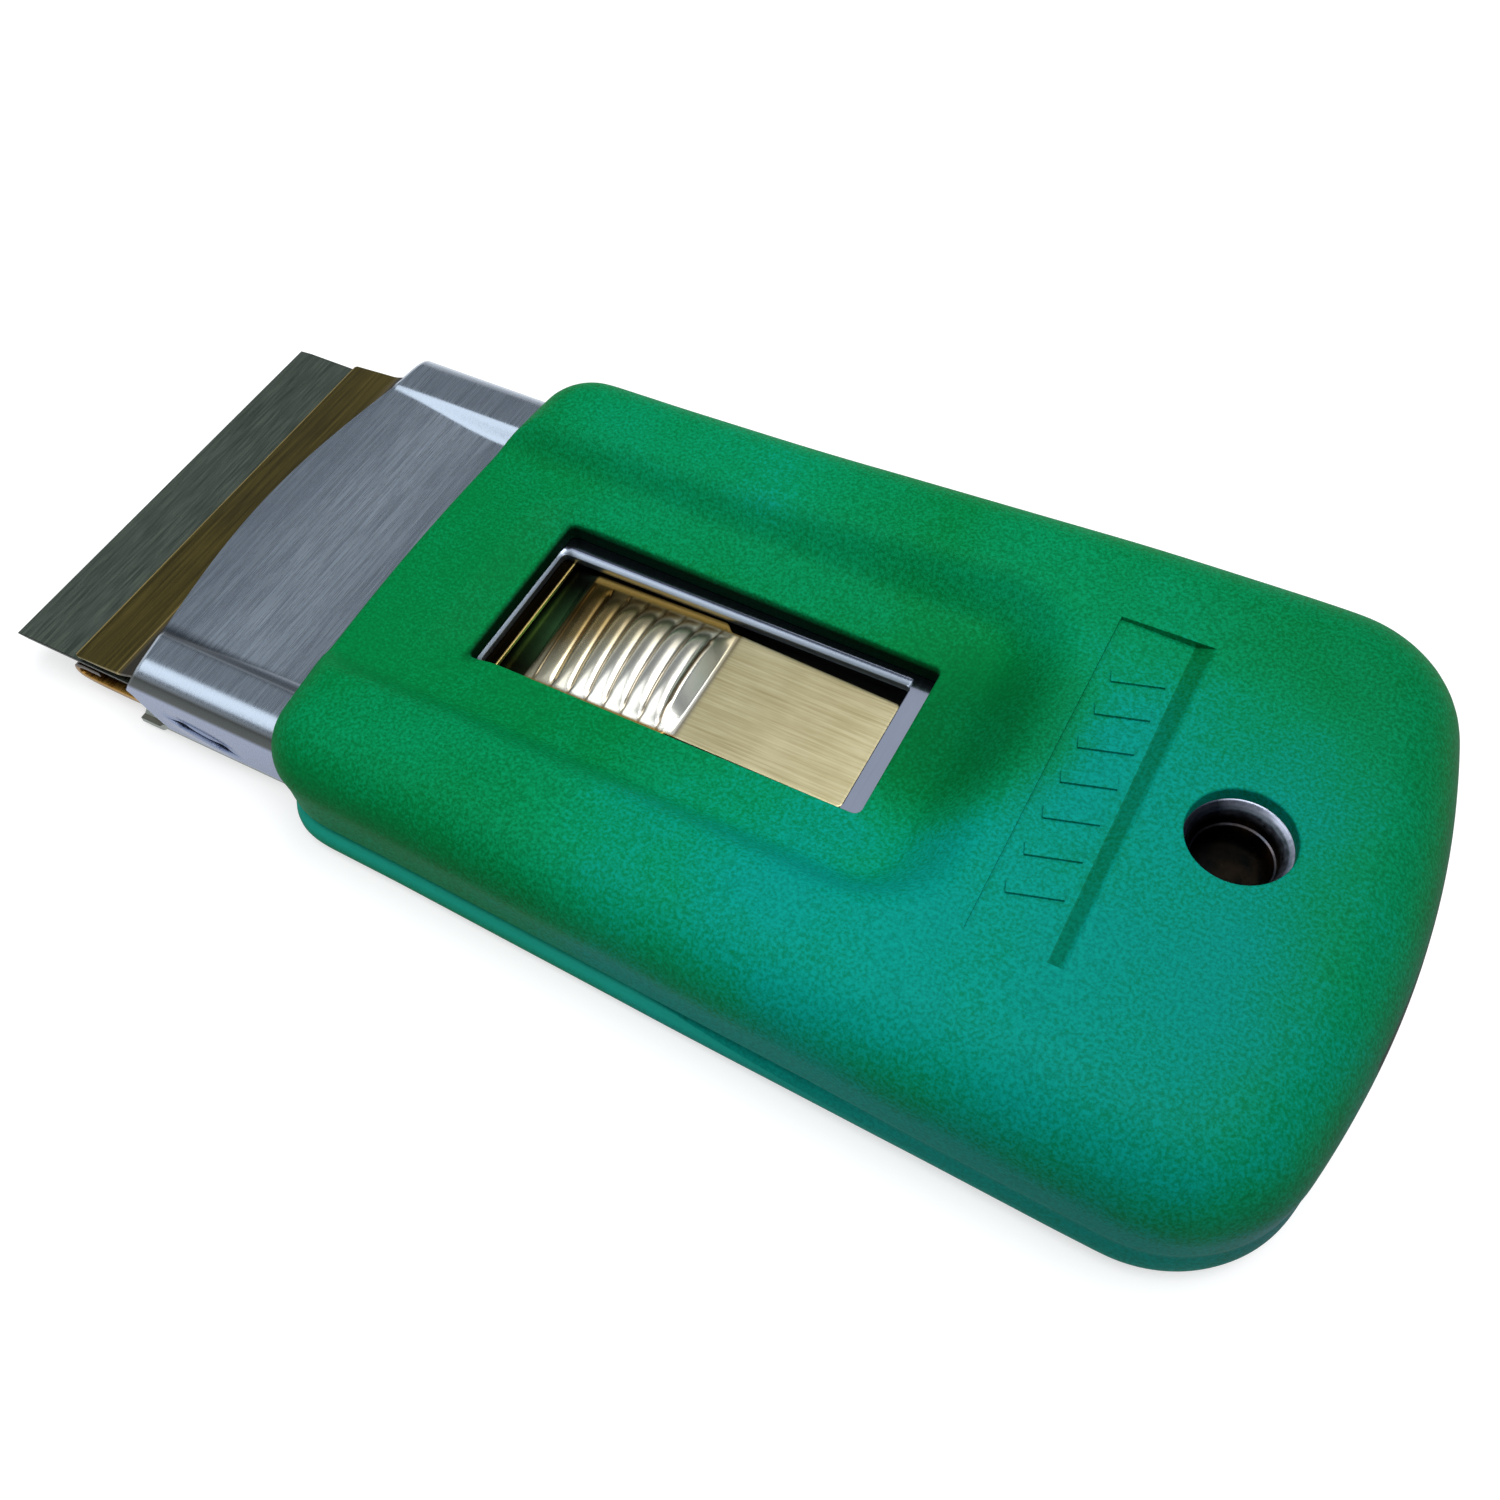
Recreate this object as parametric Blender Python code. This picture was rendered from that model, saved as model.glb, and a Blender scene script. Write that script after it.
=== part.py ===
"""Retractable window scraper with a single-edge blade, blade out, in metres, +Z up.

+X runs from the cutting edge to the butt, +Y across, and the tool lies on its back at z = 0.
The origin is under the middle of the whole length. Distances along the tool are counted
from the cutting edge, and along() turns them into X.
"""

import math

import bmesh
import bpy

# Blade: a standard one and a half inch single-edge blade with a folded back.
BLADE_WIDTH = 0.0381
BLADE_DEPTH = 0.0190
BLADE_GAUGE = 0.00025
EDGE_GRIND = 0.0012
SPINE_DEPTH = 0.0042
SPINE_HEIGHT = 0.0008
SPINE_WALL = 0.0002
SPINE_END_GAP = 0.0003

# Carrier: a stamped plate with an open hem in front, and the clamp plate over it.
LIP_SETBACK = 0.0061
LIP_RUN = 0.0042
LIP_RISE = 0.0005
LIP_RAMP = 0.0025
CLAMP_GAUGE = 0.0004
CLAMP_TAIL = 0.0101
HEM_LEAD = 0.0010
HEM_DEPTH = 0.0045
HEM_HEIGHT = 0.00185
BASE_GAUGE = 0.0005
STOP_GAUGE = 0.0005
SHELF_DEPTH = 0.0130
BLADE_SLOT_GAP = 0.00015
RIDE_GAP = 0.0003
BODY_DROP = 0.0012

# Thumb plate: a spring strip riveted under the clamp plate, with the thumb ribs and a flat tail.
THUMB_GAUGE = 0.0005
THUMB_HALF_WIDTH = 0.0053
TONGUE_LEAD = 0.0030
JOG_RUN = 0.0013
FLAT_RUN = 0.0010
RIB_COUNT = 8
RIB_PITCH = 0.00157
RIB_HEIGHT = 0.00035
CROWN_HEIGHT = 0.0014
TAIL_LENGTH = 0.0134
TAIL_DROP = 0.0002
TAIL_TAPER = 0.0004
TAIL_ROUND = 0.0010

# Rivets through the shelf, the tongue and the clamp plate.
RIVET_RADIUS = 0.0009
RIVET_HOLE_GAP = 0.0003
RIVET_HEAD_RADIUS = 0.0017
RIVET_HEAD_HEIGHT = 0.0003
RIVET_HEAD_GAP = 0.0001
RIVET_SPREAD = 0.0064
RIVET_SETBACK = 0.0094

# Shell: a stamped steel channel with a sunk panel between two rails, and a flat back plate.
SHELL_SETBACK = 0.0142
SHELL_BOW = 0.0018
SHELL_BUTT_GAP = 0.0070
CARRIER_SIDE_GAP = 0.00035
SHELL_GAUGE = 0.0006
SHELL_ROUND = 0.0022
RAIL_TOP = 0.00825
PANEL_SINK_FRONT = 0.0003
PANEL_SINK = 0.00075
PANEL_SETTLE_RUN = 0.0130
RAIL_WIDTH = 0.0049
PANEL_STEP_RUN = 0.0016
WALL_LIFT = 0.00025
BACK_PLATE_GAUGE = 0.0005
BACK_PLATE_LEAD = 0.0010
BACK_PLATE_INSET = 0.0002
LUG_LENGTH = 0.0016
LUG_HEIGHT = 0.0012
LUG_GAUGE = 0.0004
LUG_GAP = 0.0003
SLOT_LENGTH = 0.0064
SLOT_HEIGHT = 0.0007
SLOT_SETBACK = 0.0058
SLOT_LEVEL = 0.00335
SLOT_TILT_DEG = 9.0

# Travel of the carrier from its working place, and the window in the shell that ends it.
TRAVEL_FORWARD = 0.0034
TRAVEL_BACK = 0.0145
TRAVEL_END_GAP = 0.0001
WINDOW_WIDTH = 0.0124
WINDOW_CORNER = 0.0012

# Grip: a moulded rubber boot over the shell.
GRIP_SETBACK = 0.0144
GRIP_BOW = 0.0009
GRIP_LENGTH = 0.0796
GRIP_WALL_FRONT = 0.0029
GRIP_WALL_BUTT = 0.0057
GRIP_CORNER_FRONT = 0.0050
GRIP_CORNER_BUTT = 0.0104
BUTT_BOW = 0.0018
GRIP_TOP_FRONT = 0.0117
GRIP_TOP_BUTT = 0.0138
GRIP_FLOOR = 0.0006
GRIP_FIT = 0.0003
SHOULDER_FRONT = 0.0042
SHOULDER_BUTT = 0.0070
HEEL_ROUND = 0.0023
PARTING_LEVEL = 0.0043
PARTING_STEP = 0.00025
LEAST_CORNER = 0.0003

# Thumb recess in the grip, open to the front, and the opening in its floor.
RECESS_FLOOR = 0.00915
RECESS_FOOT_LEVEL = 0.0100
RECESS_FOOT_HALF_WIDTH = 0.0121
RECESS_BACK_MARGIN = 0.0055
RECESS_FOOT_CORNER = 0.0028
RECESS_FLAT_MARGIN = 0.0008
WALL_RUN_SHARE = 1.25
OPENING_MARGIN_FRONT = 0.0001
OPENING_MARGIN_SIDE = 0.0009
OPENING_MARGIN_BACK = 0.0016
OPENING_CORNER = 0.0012

# Sunk cartouche behind the recess, with plain bars standing in it.
CARTOUCHE_MARGIN = 0.0068
CARTOUCHE_LENGTH = 0.0067
CARTOUCHE_WIDTH = 0.0287
CARTOUCHE_SINK = 0.00035
BAR_COUNT = 7
BAR_PITCH = 0.0032
BAR_WIDTH = 0.0010
BAR_LENGTH = 0.0036
BAR_HEIGHT = 0.0003
BAR_LEAN_DEG = 18.0

# Hang hole and its metal eyelet.
HOLE_INSET = 0.01365
EYELET_BORE_RADIUS = 0.00305
EYELET_WALL = 0.0004
EYELET_LIP_RADIUS = 0.00035
EYELET_SINK = 0.0013
EYELET_FLANGE_RADIUS = 0.0046
EYELET_FLANGE_GAUGE = 0.0003
EYELET_FIT = 0.0003

# One overrun serves every cut.
OVERRUN = 0.0020

# Counts of facets.
ARC_STEPS = 6
ROUND_STEPS = 40
CROWN_STEPS = 8
RIB_STEPS = 6

# Places of the grip and the shell along the tool, counted from the cutting edge.
shell_front = SHELL_SETBACK
grip_front = shell_front + GRIP_SETBACK
grip_back = grip_front + GRIP_LENGTH
shell_back = grip_back - SHELL_BUTT_GAP
overall_length = grip_back
hole_place = grip_back - HOLE_INSET

# Heights above the table.
back_plate_low = GRIP_FLOOR + GRIP_FIT
back_plate_high = back_plate_low + BACK_PLATE_GAUGE
base_low = back_plate_high + RIDE_GAP
base_high = base_low + BASE_GAUGE
hem_high = base_low + HEM_HEIGHT
spine_low = hem_high + BLADE_SLOT_GAP
spine_high = spine_low + SPINE_HEIGHT
blade_low = spine_low + (SPINE_HEIGHT - BLADE_GAUGE) / 2
blade_high = blade_low + BLADE_GAUGE
lip_low = spine_high + BLADE_SLOT_GAP
lip_high = lip_low + CLAMP_GAUGE
panel_top = RAIL_TOP - PANEL_SINK
panel_under = panel_top - SHELL_GAUGE
clamp_high = lip_low + BODY_DROP + CLAMP_GAUGE
clamp_low = clamp_high - CLAMP_GAUGE
tongue_high = clamp_low - RIDE_GAP
tongue_low = tongue_high - THUMB_GAUGE
shelf_high = tongue_low - RIDE_GAP
shelf_low = shelf_high - BASE_GAUGE

# Places on the slider.
spine_back = BLADE_DEPTH + SPINE_WALL + SPINE_END_GAP
stop_front = spine_back + RIDE_GAP
hem_front = LIP_SETBACK - HEM_LEAD
shelf_back = stop_front + SHELF_DEPTH
rivet_place = stop_front + RIVET_SETBACK
clamp_back = rivet_place + CLAMP_TAIL
tongue_front = rivet_place - TONGUE_LEAD
jog_front = clamp_back
rib_front = jog_front + JOG_RUN + FLAT_RUN
rib_back = rib_front + RIB_COUNT * RIB_PITCH
tail_back = rib_back + TAIL_LENGTH
thumb_flat = clamp_high

# The window's ends, which stop the ribs, and what lies behind it.
window_front = rib_front - TRAVEL_FORWARD - TRAVEL_END_GAP
window_back = rib_back + TRAVEL_BACK + TRAVEL_END_GAP
recess_back = window_back + RECESS_BACK_MARGIN
cartouche_front = recess_back + CARTOUCHE_MARGIN
cartouche_back = cartouche_front + CARTOUCHE_LENGTH

blade_half = BLADE_WIDTH / 2
shell_half = blade_half + CARRIER_SIDE_GAP + SHELL_GAUGE
wall_low = back_plate_high + WALL_LIFT


def along(distance):
    """X of a place counted from the cutting edge."""
    return distance - overall_length / 2


def grip_top(distance):
    """Height of the grip's flat top, which rises from the front to the butt."""
    share = (distance - grip_front) / GRIP_LENGTH
    return GRIP_TOP_FRONT + (GRIP_TOP_BUTT - GRIP_TOP_FRONT) * share


def grip_half(distance):
    """Half the grip's width, which grows to the butt."""
    share = (distance - grip_front) / GRIP_LENGTH
    return shell_half + GRIP_WALL_FRONT + (GRIP_WALL_BUTT - GRIP_WALL_FRONT) * share


def material(name, colour, roughness, metallic):
    """A Principled material with one colour."""
    made = bpy.data.materials.new(name)
    made.use_nodes = True
    shader = made.node_tree.nodes["Principled BSDF"]
    shader.inputs["Base Color"].default_value = (*colour, 1.0)
    shader.inputs["Roughness"].default_value = roughness
    shader.inputs["Metallic"].default_value = metallic
    made.diffuse_color = (*colour, 1.0)
    return made


def clear_scene():
    """Take away whatever the file opened with."""
    for thing in list(bpy.data.objects):
        bpy.data.objects.remove(thing, do_unlink=True)


def joint_empty(name, place, parent=None):
    """An empty on a joint's axis, which carries the pieces that move with it."""
    empty = bpy.data.objects.new(name, None)
    if parent is not None:
        place = [a - b for a, b in zip(place, world_place(parent))]
    empty.location = place
    empty.parent = parent
    bpy.context.scene.collection.objects.link(empty)
    return empty


def world_place(thing):
    """Where an unturned object stands, through its parents."""
    place = list(thing.location)
    if thing.parent is not None:
        place = [a + b for a, b in zip(place, world_place(thing.parent))]
    return place


def piece(name, mesh_maker, finish=None, parent=None):
    """Make an object whose mesh is drawn in world places, and hang it on its parent."""
    work = bmesh.new()
    mesh_maker(work)
    bmesh.ops.recalc_face_normals(work, faces=work.faces)
    if parent is not None:
        bmesh.ops.translate(work, vec=[-value for value in world_place(parent)], verts=work.verts)
    mesh = bpy.data.meshes.new(name)
    work.to_mesh(mesh)
    work.free()
    made = bpy.data.objects.new(name, mesh)
    made.parent = parent
    bpy.context.scene.collection.objects.link(made)
    if finish is not None:
        mesh.materials.append(finish)
    mesh.shade_smooth()
    mesh.set_sharp_from_angle(angle=math.radians(35))
    return made


def cutter(name, mesh_maker, parent=None):
    """An object that only cuts: drawn as wire and left out of renders."""
    made = piece(name, mesh_maker, None, parent)
    made.hide_render = True
    made.display_type = "WIRE"
    return made


def cut(target, tool):
    """Take the tool's volume out of the target."""
    change = target.modifiers.new(tool.name, "BOOLEAN")
    change.operation = "DIFFERENCE"
    change.solver = "EXACT"
    change.object = tool


def loft(work, rings):
    """Skin rings of equal length one to the next, and close both ends."""
    loops = [[work.verts.new(point) for point in ring] for ring in rings]
    count = len(loops[0])
    for first, second in zip(loops, loops[1:]):
        for index in range(count):
            after = (index + 1) % count
            work.faces.new((first[index], first[after], second[after], second[index]))
    work.faces.new(list(reversed(loops[0])))
    work.faces.new(loops[-1])


def prism_up(outline, low, high):
    """A maker for a plan outline of (distance, across) points raised from low to high."""

    def make(work):
        loft(work, [[(along(x), y, level) for x, y in outline] for level in (low, high)])

    return make


def prism_across(profile, half_width):
    """A maker for a side profile of (distance, height) points run across the tool."""

    def make(work):
        sides = (-half_width, half_width)
        loft(work, [[(along(x), side, z) for x, z in profile] for side in sides])

    return make


def arc(centre_x, centre_y, radius, start_deg, end_deg, steps=ARC_STEPS):
    """Points along an arc, both ends included."""
    points = []
    for index in range(steps + 1):
        angle = math.radians(start_deg + (end_deg - start_deg) * index / steps)
        points.append((centre_x + radius * math.cos(angle), centre_y + radius * math.sin(angle)))
    return points


def rounded_box(low_x, high_x, half_width, corner):
    """Plan outline of a box with round corners, counter-clockwise."""
    inner_x_low = low_x + corner
    inner_x_high = high_x - corner
    inner_y = half_width - corner
    outline = arc(inner_x_high, -inner_y, corner, -90, 0)
    outline += arc(inner_x_high, inner_y, corner, 0, 90)
    outline += arc(inner_x_low, inner_y, corner, 90, 180)
    outline += arc(inner_x_low, -inner_y, corner, 180, 270)
    return outline


def turned(profile, distance, across=0):
    """A maker for a closed (radius, height) profile turned about an upright axis."""

    def make(work):
        columns = []
        for step in range(ROUND_STEPS):
            angle = 2 * math.pi * step / ROUND_STEPS
            column = []
            for radius, level in profile:
                x = along(distance) + radius * math.cos(angle)
                y = across + radius * math.sin(angle)
                column.append(work.verts.new((x, y, level)))
            columns.append(column)
        count = len(profile)
        for step in range(ROUND_STEPS):
            here = columns[step]
            there = columns[(step + 1) % ROUND_STEPS]
            for index in range(count):
                after = (index + 1) % count
                work.faces.new((here[index], there[index], there[after], here[after]))

    return make


def round_stack(profile, distance, across):
    """A maker for a solid round piece: rings of (radius, height) from the bottom to the top."""

    def make(work):
        rings = []
        for radius, level in profile:
            ring = []
            for step in range(ROUND_STEPS):
                angle = 2 * math.pi * step / ROUND_STEPS
                x = along(distance) + radius * math.cos(angle)
                y = across + radius * math.sin(angle)
                ring.append((x, y, level))
            rings.append(ring)
        loft(work, rings)

    return make


def round_plug(radius, distance, across, low, high):
    """A maker for a plain upright cylinder."""
    return round_stack([(radius, low), (radius, high)], distance, across)


def make_blade(finish, parent):
    """Flat blade with a ground edge; the edge itself is a line."""
    middle = (blade_low + blade_high) / 2
    profile = [
        (0, middle),
        (EDGE_GRIND, blade_low),
        (BLADE_DEPTH, blade_low),
        (BLADE_DEPTH, blade_high),
        (EDGE_GRIND, blade_high),
    ]
    return piece("blade", prism_across(profile, blade_half), finish, parent)


def make_blade_spine(finish, parent):
    """Strip folded round the blade's back."""
    front = BLADE_DEPTH - SPINE_DEPTH
    throat_back = spine_back - SPINE_WALL
    throat_low = spine_low + SPINE_WALL
    throat_high = spine_high - SPINE_WALL
    profile = [
        (front, spine_low),
        (spine_back, spine_low),
        (spine_back, spine_high),
        (front, spine_high),
        (front, throat_high),
        (throat_back, throat_high),
        (throat_back, throat_low),
        (front, throat_low),
    ]
    return piece("blade_spine", prism_across(profile, blade_half), finish, parent)


def make_carrier_base(finish, parent):
    """Lower jaw: open hem in front, floor, blade stop, and the shelf that takes the rivets."""
    outer = HEM_HEIGHT / 2
    inner = outer - BASE_GAUGE
    centre_x = hem_front + outer
    centre_z = base_low + outer
    hem_back = hem_front + HEM_DEPTH
    nose_out = arc(centre_x, centre_z, outer, 270, 90)
    nose_in = arc(centre_x, centre_z, inner, 90, 270)
    profile = [(hem_back, hem_high - BASE_GAUGE), (hem_back, hem_high)]
    profile += list(reversed(nose_out))
    profile += [
        (stop_front + STOP_GAUGE, base_low),
        (stop_front + STOP_GAUGE, shelf_low),
        (shelf_back, shelf_low),
        (shelf_back, shelf_high),
        (stop_front, shelf_high),
        (stop_front, base_high),
    ]
    profile += list(reversed(nose_in))
    base = piece("carrier_base", prism_across(profile, blade_half), finish, parent)
    drill_for_rivets(base, "shelf", shelf_low, shelf_high)
    return base


def make_clamp_plate(finish, parent):
    """Upper jaw: a lip that lies on the blade, a ramp, and a flat under the shell."""
    bend = LIP_SETBACK + LIP_RUN
    flat = bend + LIP_RAMP
    top = [
        (LIP_SETBACK, lip_high),
        (bend, lip_high + LIP_RISE),
        (flat, clamp_high),
        (clamp_back, clamp_high),
    ]
    under = [(x, z - CLAMP_GAUGE) for x, z in reversed(top)]
    plate = piece("clamp_plate", prism_across(top + under, blade_half), finish, parent)
    drill_for_rivets(plate, "clamp", clamp_low, clamp_high)
    return plate


def rivet_sides():
    """The two rivets' names and places across the tool."""
    return (("near", -RIVET_SPREAD / 2), ("far", RIVET_SPREAD / 2))


def drill_for_rivets(target, name, low, high):
    """Clearance holes for both rivets through one plate."""
    radius = RIVET_RADIUS + RIVET_HOLE_GAP
    reach = RIDE_GAP / 2
    for side, across in rivet_sides():
        maker = round_plug(radius, rivet_place, across, low - reach, high + reach)
        cut(target, cutter(f"cut_{name}_rivet_{side}", maker, target.parent))


def make_rivets(finish, parent):
    """Two rivets, each with a flat head below and above."""
    low = shelf_low - RIVET_HEAD_GAP
    high = clamp_high + RIVET_HEAD_GAP
    made = []
    for side, across in rivet_sides():
        profile = [
            (RIVET_HEAD_RADIUS, low - RIVET_HEAD_HEIGHT),
            (RIVET_HEAD_RADIUS, low),
            (RIVET_RADIUS, low),
            (RIVET_RADIUS, high),
            (RIVET_HEAD_RADIUS, high),
            (RIVET_HEAD_RADIUS, high + RIVET_HEAD_HEIGHT),
        ]
        maker = round_stack(profile, rivet_place, across)
        made.append(piece(f"carrier_rivet_{side}", maker, finish, parent))
    return made


def thumb_stations():
    """Distances of the thumb plate's cross-sections, closer together over the ribs."""
    stations = [tongue_front, rivet_place - RIVET_RADIUS, rivet_place + TONGUE_LEAD]
    stations += [jog_front, jog_front + JOG_RUN]
    steps = RIB_COUNT * RIB_STEPS
    stations += [rib_front + (rib_back - rib_front) * index / steps for index in range(steps + 1)]
    stations += [tail_back - TAIL_ROUND, tail_back]
    return stations


def thumb_level(distance, across_share):
    """Height of the thumb plate's top: tongue, jog, ribbed crown and tail."""
    if distance <= jog_front:
        return tongue_high
    if distance < rib_front:
        share = min((distance - jog_front) / JOG_RUN, 1)
        return tongue_high + (thumb_flat - tongue_high) * share
    if distance >= rib_back:
        return thumb_flat - TAIL_DROP * (distance - rib_back) / TAIL_LENGTH
    share = (distance - rib_front) / (rib_back - rib_front)
    crown = math.sin(math.pi * share) ** 0.5 if 0 < share < 1 else 0
    arch = 1 - across_share ** 2
    ripple = math.sin(math.pi * (distance - rib_front) / RIB_PITCH) ** 2
    return thumb_flat + arch * (CROWN_HEIGHT * crown + RIB_HEIGHT * ripple)


def thumb_half(distance):
    """Half the thumb plate's width; the tail narrows, and its end corners are cut round."""
    if distance <= rib_back:
        return THUMB_HALF_WIDTH
    taper = TAIL_TAPER * (distance - rib_back) / TAIL_LENGTH
    corner = TAIL_ROUND if distance >= tail_back else 0
    return THUMB_HALF_WIDTH - taper - corner


def make_thumb_plate(finish, parent):
    """One strip, its top and underside the gauge apart."""

    def make(work):
        rings = []
        for distance in thumb_stations():
            top = []
            under = []
            for index in range(2 * CROWN_STEPS + 1):
                share = index / CROWN_STEPS - 1
                y = share * thumb_half(distance)
                z = thumb_level(distance, share)
                top.append((along(distance), y, z))
                under.append((along(distance), y, z - THUMB_GAUGE))
            rings.append(top + list(reversed(under)))
        loft(work, rings)

    plate = piece("thumb_plate", make, finish, parent)
    drill_for_rivets(plate, "tongue", tongue_low, tongue_high)
    return plate


def shell_profile(sink, grow=0):
    """Right half of the shell's outer section from the middle to the wall's foot."""
    rail = RAIL_TOP + grow
    panel = rail - sink
    side = shell_half + grow
    corner = SHELL_ROUND + grow
    step_out = shell_half - RAIL_WIDTH - grow / 2
    step_in = step_out - PANEL_STEP_RUN
    quarter = (step_out - step_in) / 4
    points = [
        (0, panel),
        (step_in, panel),
        (step_in + quarter, panel + sink / 8),
        (step_out - quarter, rail - sink / 8),
        (step_out, rail),
    ]
    points += arc(side - corner, rail - corner, corner, 90, 0)
    return points


def whole_section(half):
    """Mirror a half section to both sides, from -Y to +Y."""
    return [(-y, z) for y, z in reversed(half[1:])] + half


def make_housing_top(finish):
    """Stamped channel: bowed front edge, sunk panel, rails, walls, window and hang hole."""
    settle = shell_front + PANEL_SETTLE_RUN

    def station(distance, sink, bow):
        outer = whole_section(shell_profile(sink) + [(shell_half, wall_low)])
        inner_half = [(0, RAIL_TOP - sink - SHELL_GAUGE)]
        inner_half += [(y - SHELL_GAUGE / 2, z - SHELL_GAUGE) for y, z in shell_profile(sink)[1:5]]
        corner = SHELL_ROUND - SHELL_GAUGE
        inner_side = shell_half - SHELL_GAUGE
        inner_half += arc(inner_side - corner, RAIL_TOP - SHELL_ROUND, corner, 90, 0)
        inner_half += [(inner_side, wall_low)]
        ring = outer + list(reversed(whole_section(inner_half)))
        return [(along(distance - bow * (1 - (y / shell_half) ** 2)), y, z) for y, z in ring]

    def make(work):
        loft(
            work,
            [
                station(shell_front, PANEL_SINK_FRONT, SHELL_BOW),
                station(settle, PANEL_SINK, 0),
                station(shell_back, PANEL_SINK, 0),
            ],
        )

    shell = piece("housing_top", make, finish)
    high = RAIL_TOP + OVERRUN
    low = panel_under - OVERRUN
    outline = rounded_box(window_front, window_back, WINDOW_WIDTH / 2, WINDOW_CORNER)
    cut(shell, cutter("cut_shell_window", prism_up(outline, low, high)))
    hole = EYELET_BORE_RADIUS + EYELET_WALL + EYELET_FIT
    cut(shell, cutter("cut_shell_hole", round_plug(hole, hole_place, 0, low, high)))
    for side in (-1, 1):
        name = "near" if side < 0 else "far"
        cut(shell, cutter(f"cut_shell_slot_{name}", lens_slot(side)))
        cut(shell, cutter(f"cut_shell_notch_{name}", wall_notch(side)))
    return shell


def lens_slot(side):
    """A maker for the pointed slit that is lanced through a side wall."""
    middle_x = shell_front + SLOT_SETBACK
    tilt = math.radians(-SLOT_TILT_DEG)
    points = []
    for index in range(2 * ARC_STEPS):
        turn = math.pi * index / ARC_STEPS
        run = SLOT_LENGTH / 2 * math.cos(turn)
        rise = SLOT_HEIGHT / 2 * math.sin(turn) * abs(math.sin(turn))
        x = middle_x + run * math.cos(tilt) - rise * math.sin(tilt)
        z = SLOT_LEVEL + run * math.sin(tilt) + rise * math.cos(tilt)
        points.append((x, z))

    def make(work):
        near = side * (shell_half - SHELL_GAUGE * 2)
        far = side * (shell_half + SHELL_GAUGE)
        loft(work, [[(along(x), y, z) for x, z in points] for y in (near, far)])

    return make


def wall_notch(side):
    """A maker for the notch in the wall's lower front corner, where the back plate's lug stands."""
    length = LUG_LENGTH + LUG_GAP
    height = LUG_HEIGHT + LUG_GAP
    low = wall_low - OVERRUN
    high = back_plate_high + height
    front = shell_front - SHELL_BOW
    back = shell_front + length

    def make(work):
        near = side * (shell_half - SHELL_GAUGE * 2)
        far = side * (shell_half + SHELL_GAUGE)
        corners = [
            (front, low),
            (back, low),
            (back, high - LUG_GAP),
            (back - LUG_GAP, high),
            (front, high),
        ]
        loft(work, [[(along(x), y, z) for x, z in corners] for y in (near, far)])

    return make


def make_housing_bottom(finish):
    """Flat back plate under the channel, with two lugs that stand in the wall's notches."""
    half = shell_half - BACK_PLATE_INSET
    front = shell_front - BACK_PLATE_LEAD
    section = [
        (-half, back_plate_low),
        (half, back_plate_low),
        (half, back_plate_high + LUG_HEIGHT),
        (half - LUG_GAUGE, back_plate_high + LUG_HEIGHT),
        (half - LUG_GAUGE, back_plate_high),
        (-half + LUG_GAUGE, back_plate_high),
        (-half + LUG_GAUGE, back_plate_high + LUG_HEIGHT),
        (-half, back_plate_high + LUG_HEIGHT),
    ]

    def make(work):
        loft(work, [[(along(x), y, z) for y, z in section] for x in (front, shell_back)])

    plate = piece("housing_bottom", make, finish)
    trim = [
        (shell_front + LUG_LENGTH, back_plate_high),
        (shell_back + OVERRUN, back_plate_high),
        (shell_back + OVERRUN, back_plate_high + LUG_HEIGHT + OVERRUN),
        (shell_front + LUG_LENGTH, back_plate_high + LUG_HEIGHT + OVERRUN),
    ]
    cut(plate, cutter("cut_plate_sides", prism_across(trim, shell_half + OVERRUN)))
    hole = EYELET_BORE_RADIUS + EYELET_WALL + EYELET_FIT
    plug = round_plug(hole, hole_place, 0, back_plate_low - GRIP_FIT, back_plate_high + OVERRUN)
    cut(plate, cutter("cut_plate_hole", plug))
    return plate


def make_hang_eyelet(finish):
    """Tubular eyelet: a flange under the back plate, a barrel, and a rolled lip above."""
    bore = EYELET_BORE_RADIUS
    barrel = bore + EYELET_WALL
    flange_high = back_plate_low - EYELET_FIT / 2
    flange_low = flange_high - EYELET_FLANGE_GAUGE
    top = grip_top(hole_place) - EYELET_SINK
    roll = EYELET_LIP_RADIUS
    middle = bore + EYELET_WALL / 2
    profile = [(bore, flange_low), (EYELET_FLANGE_RADIUS, flange_low)]
    profile += [(EYELET_FLANGE_RADIUS, flange_high), (barrel, flange_high)]
    profile += [(barrel, top - 2 * roll)]
    for angle in roll_angles():
        profile.append((middle + roll * math.cos(angle), top - roll + roll * math.sin(angle)))
    profile += [(bore, top - 2 * roll)]
    return piece("hang_eyelet", turned(profile, hole_place), finish)


def roll_angles():
    """Angles of the rolled lip, from its outer side over the top to its inner side."""
    start = -math.pi / 6
    stop = math.pi * 7 / 6
    return [start + (stop - start) * index / ARC_STEPS for index in range(ARC_STEPS + 1)]


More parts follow.
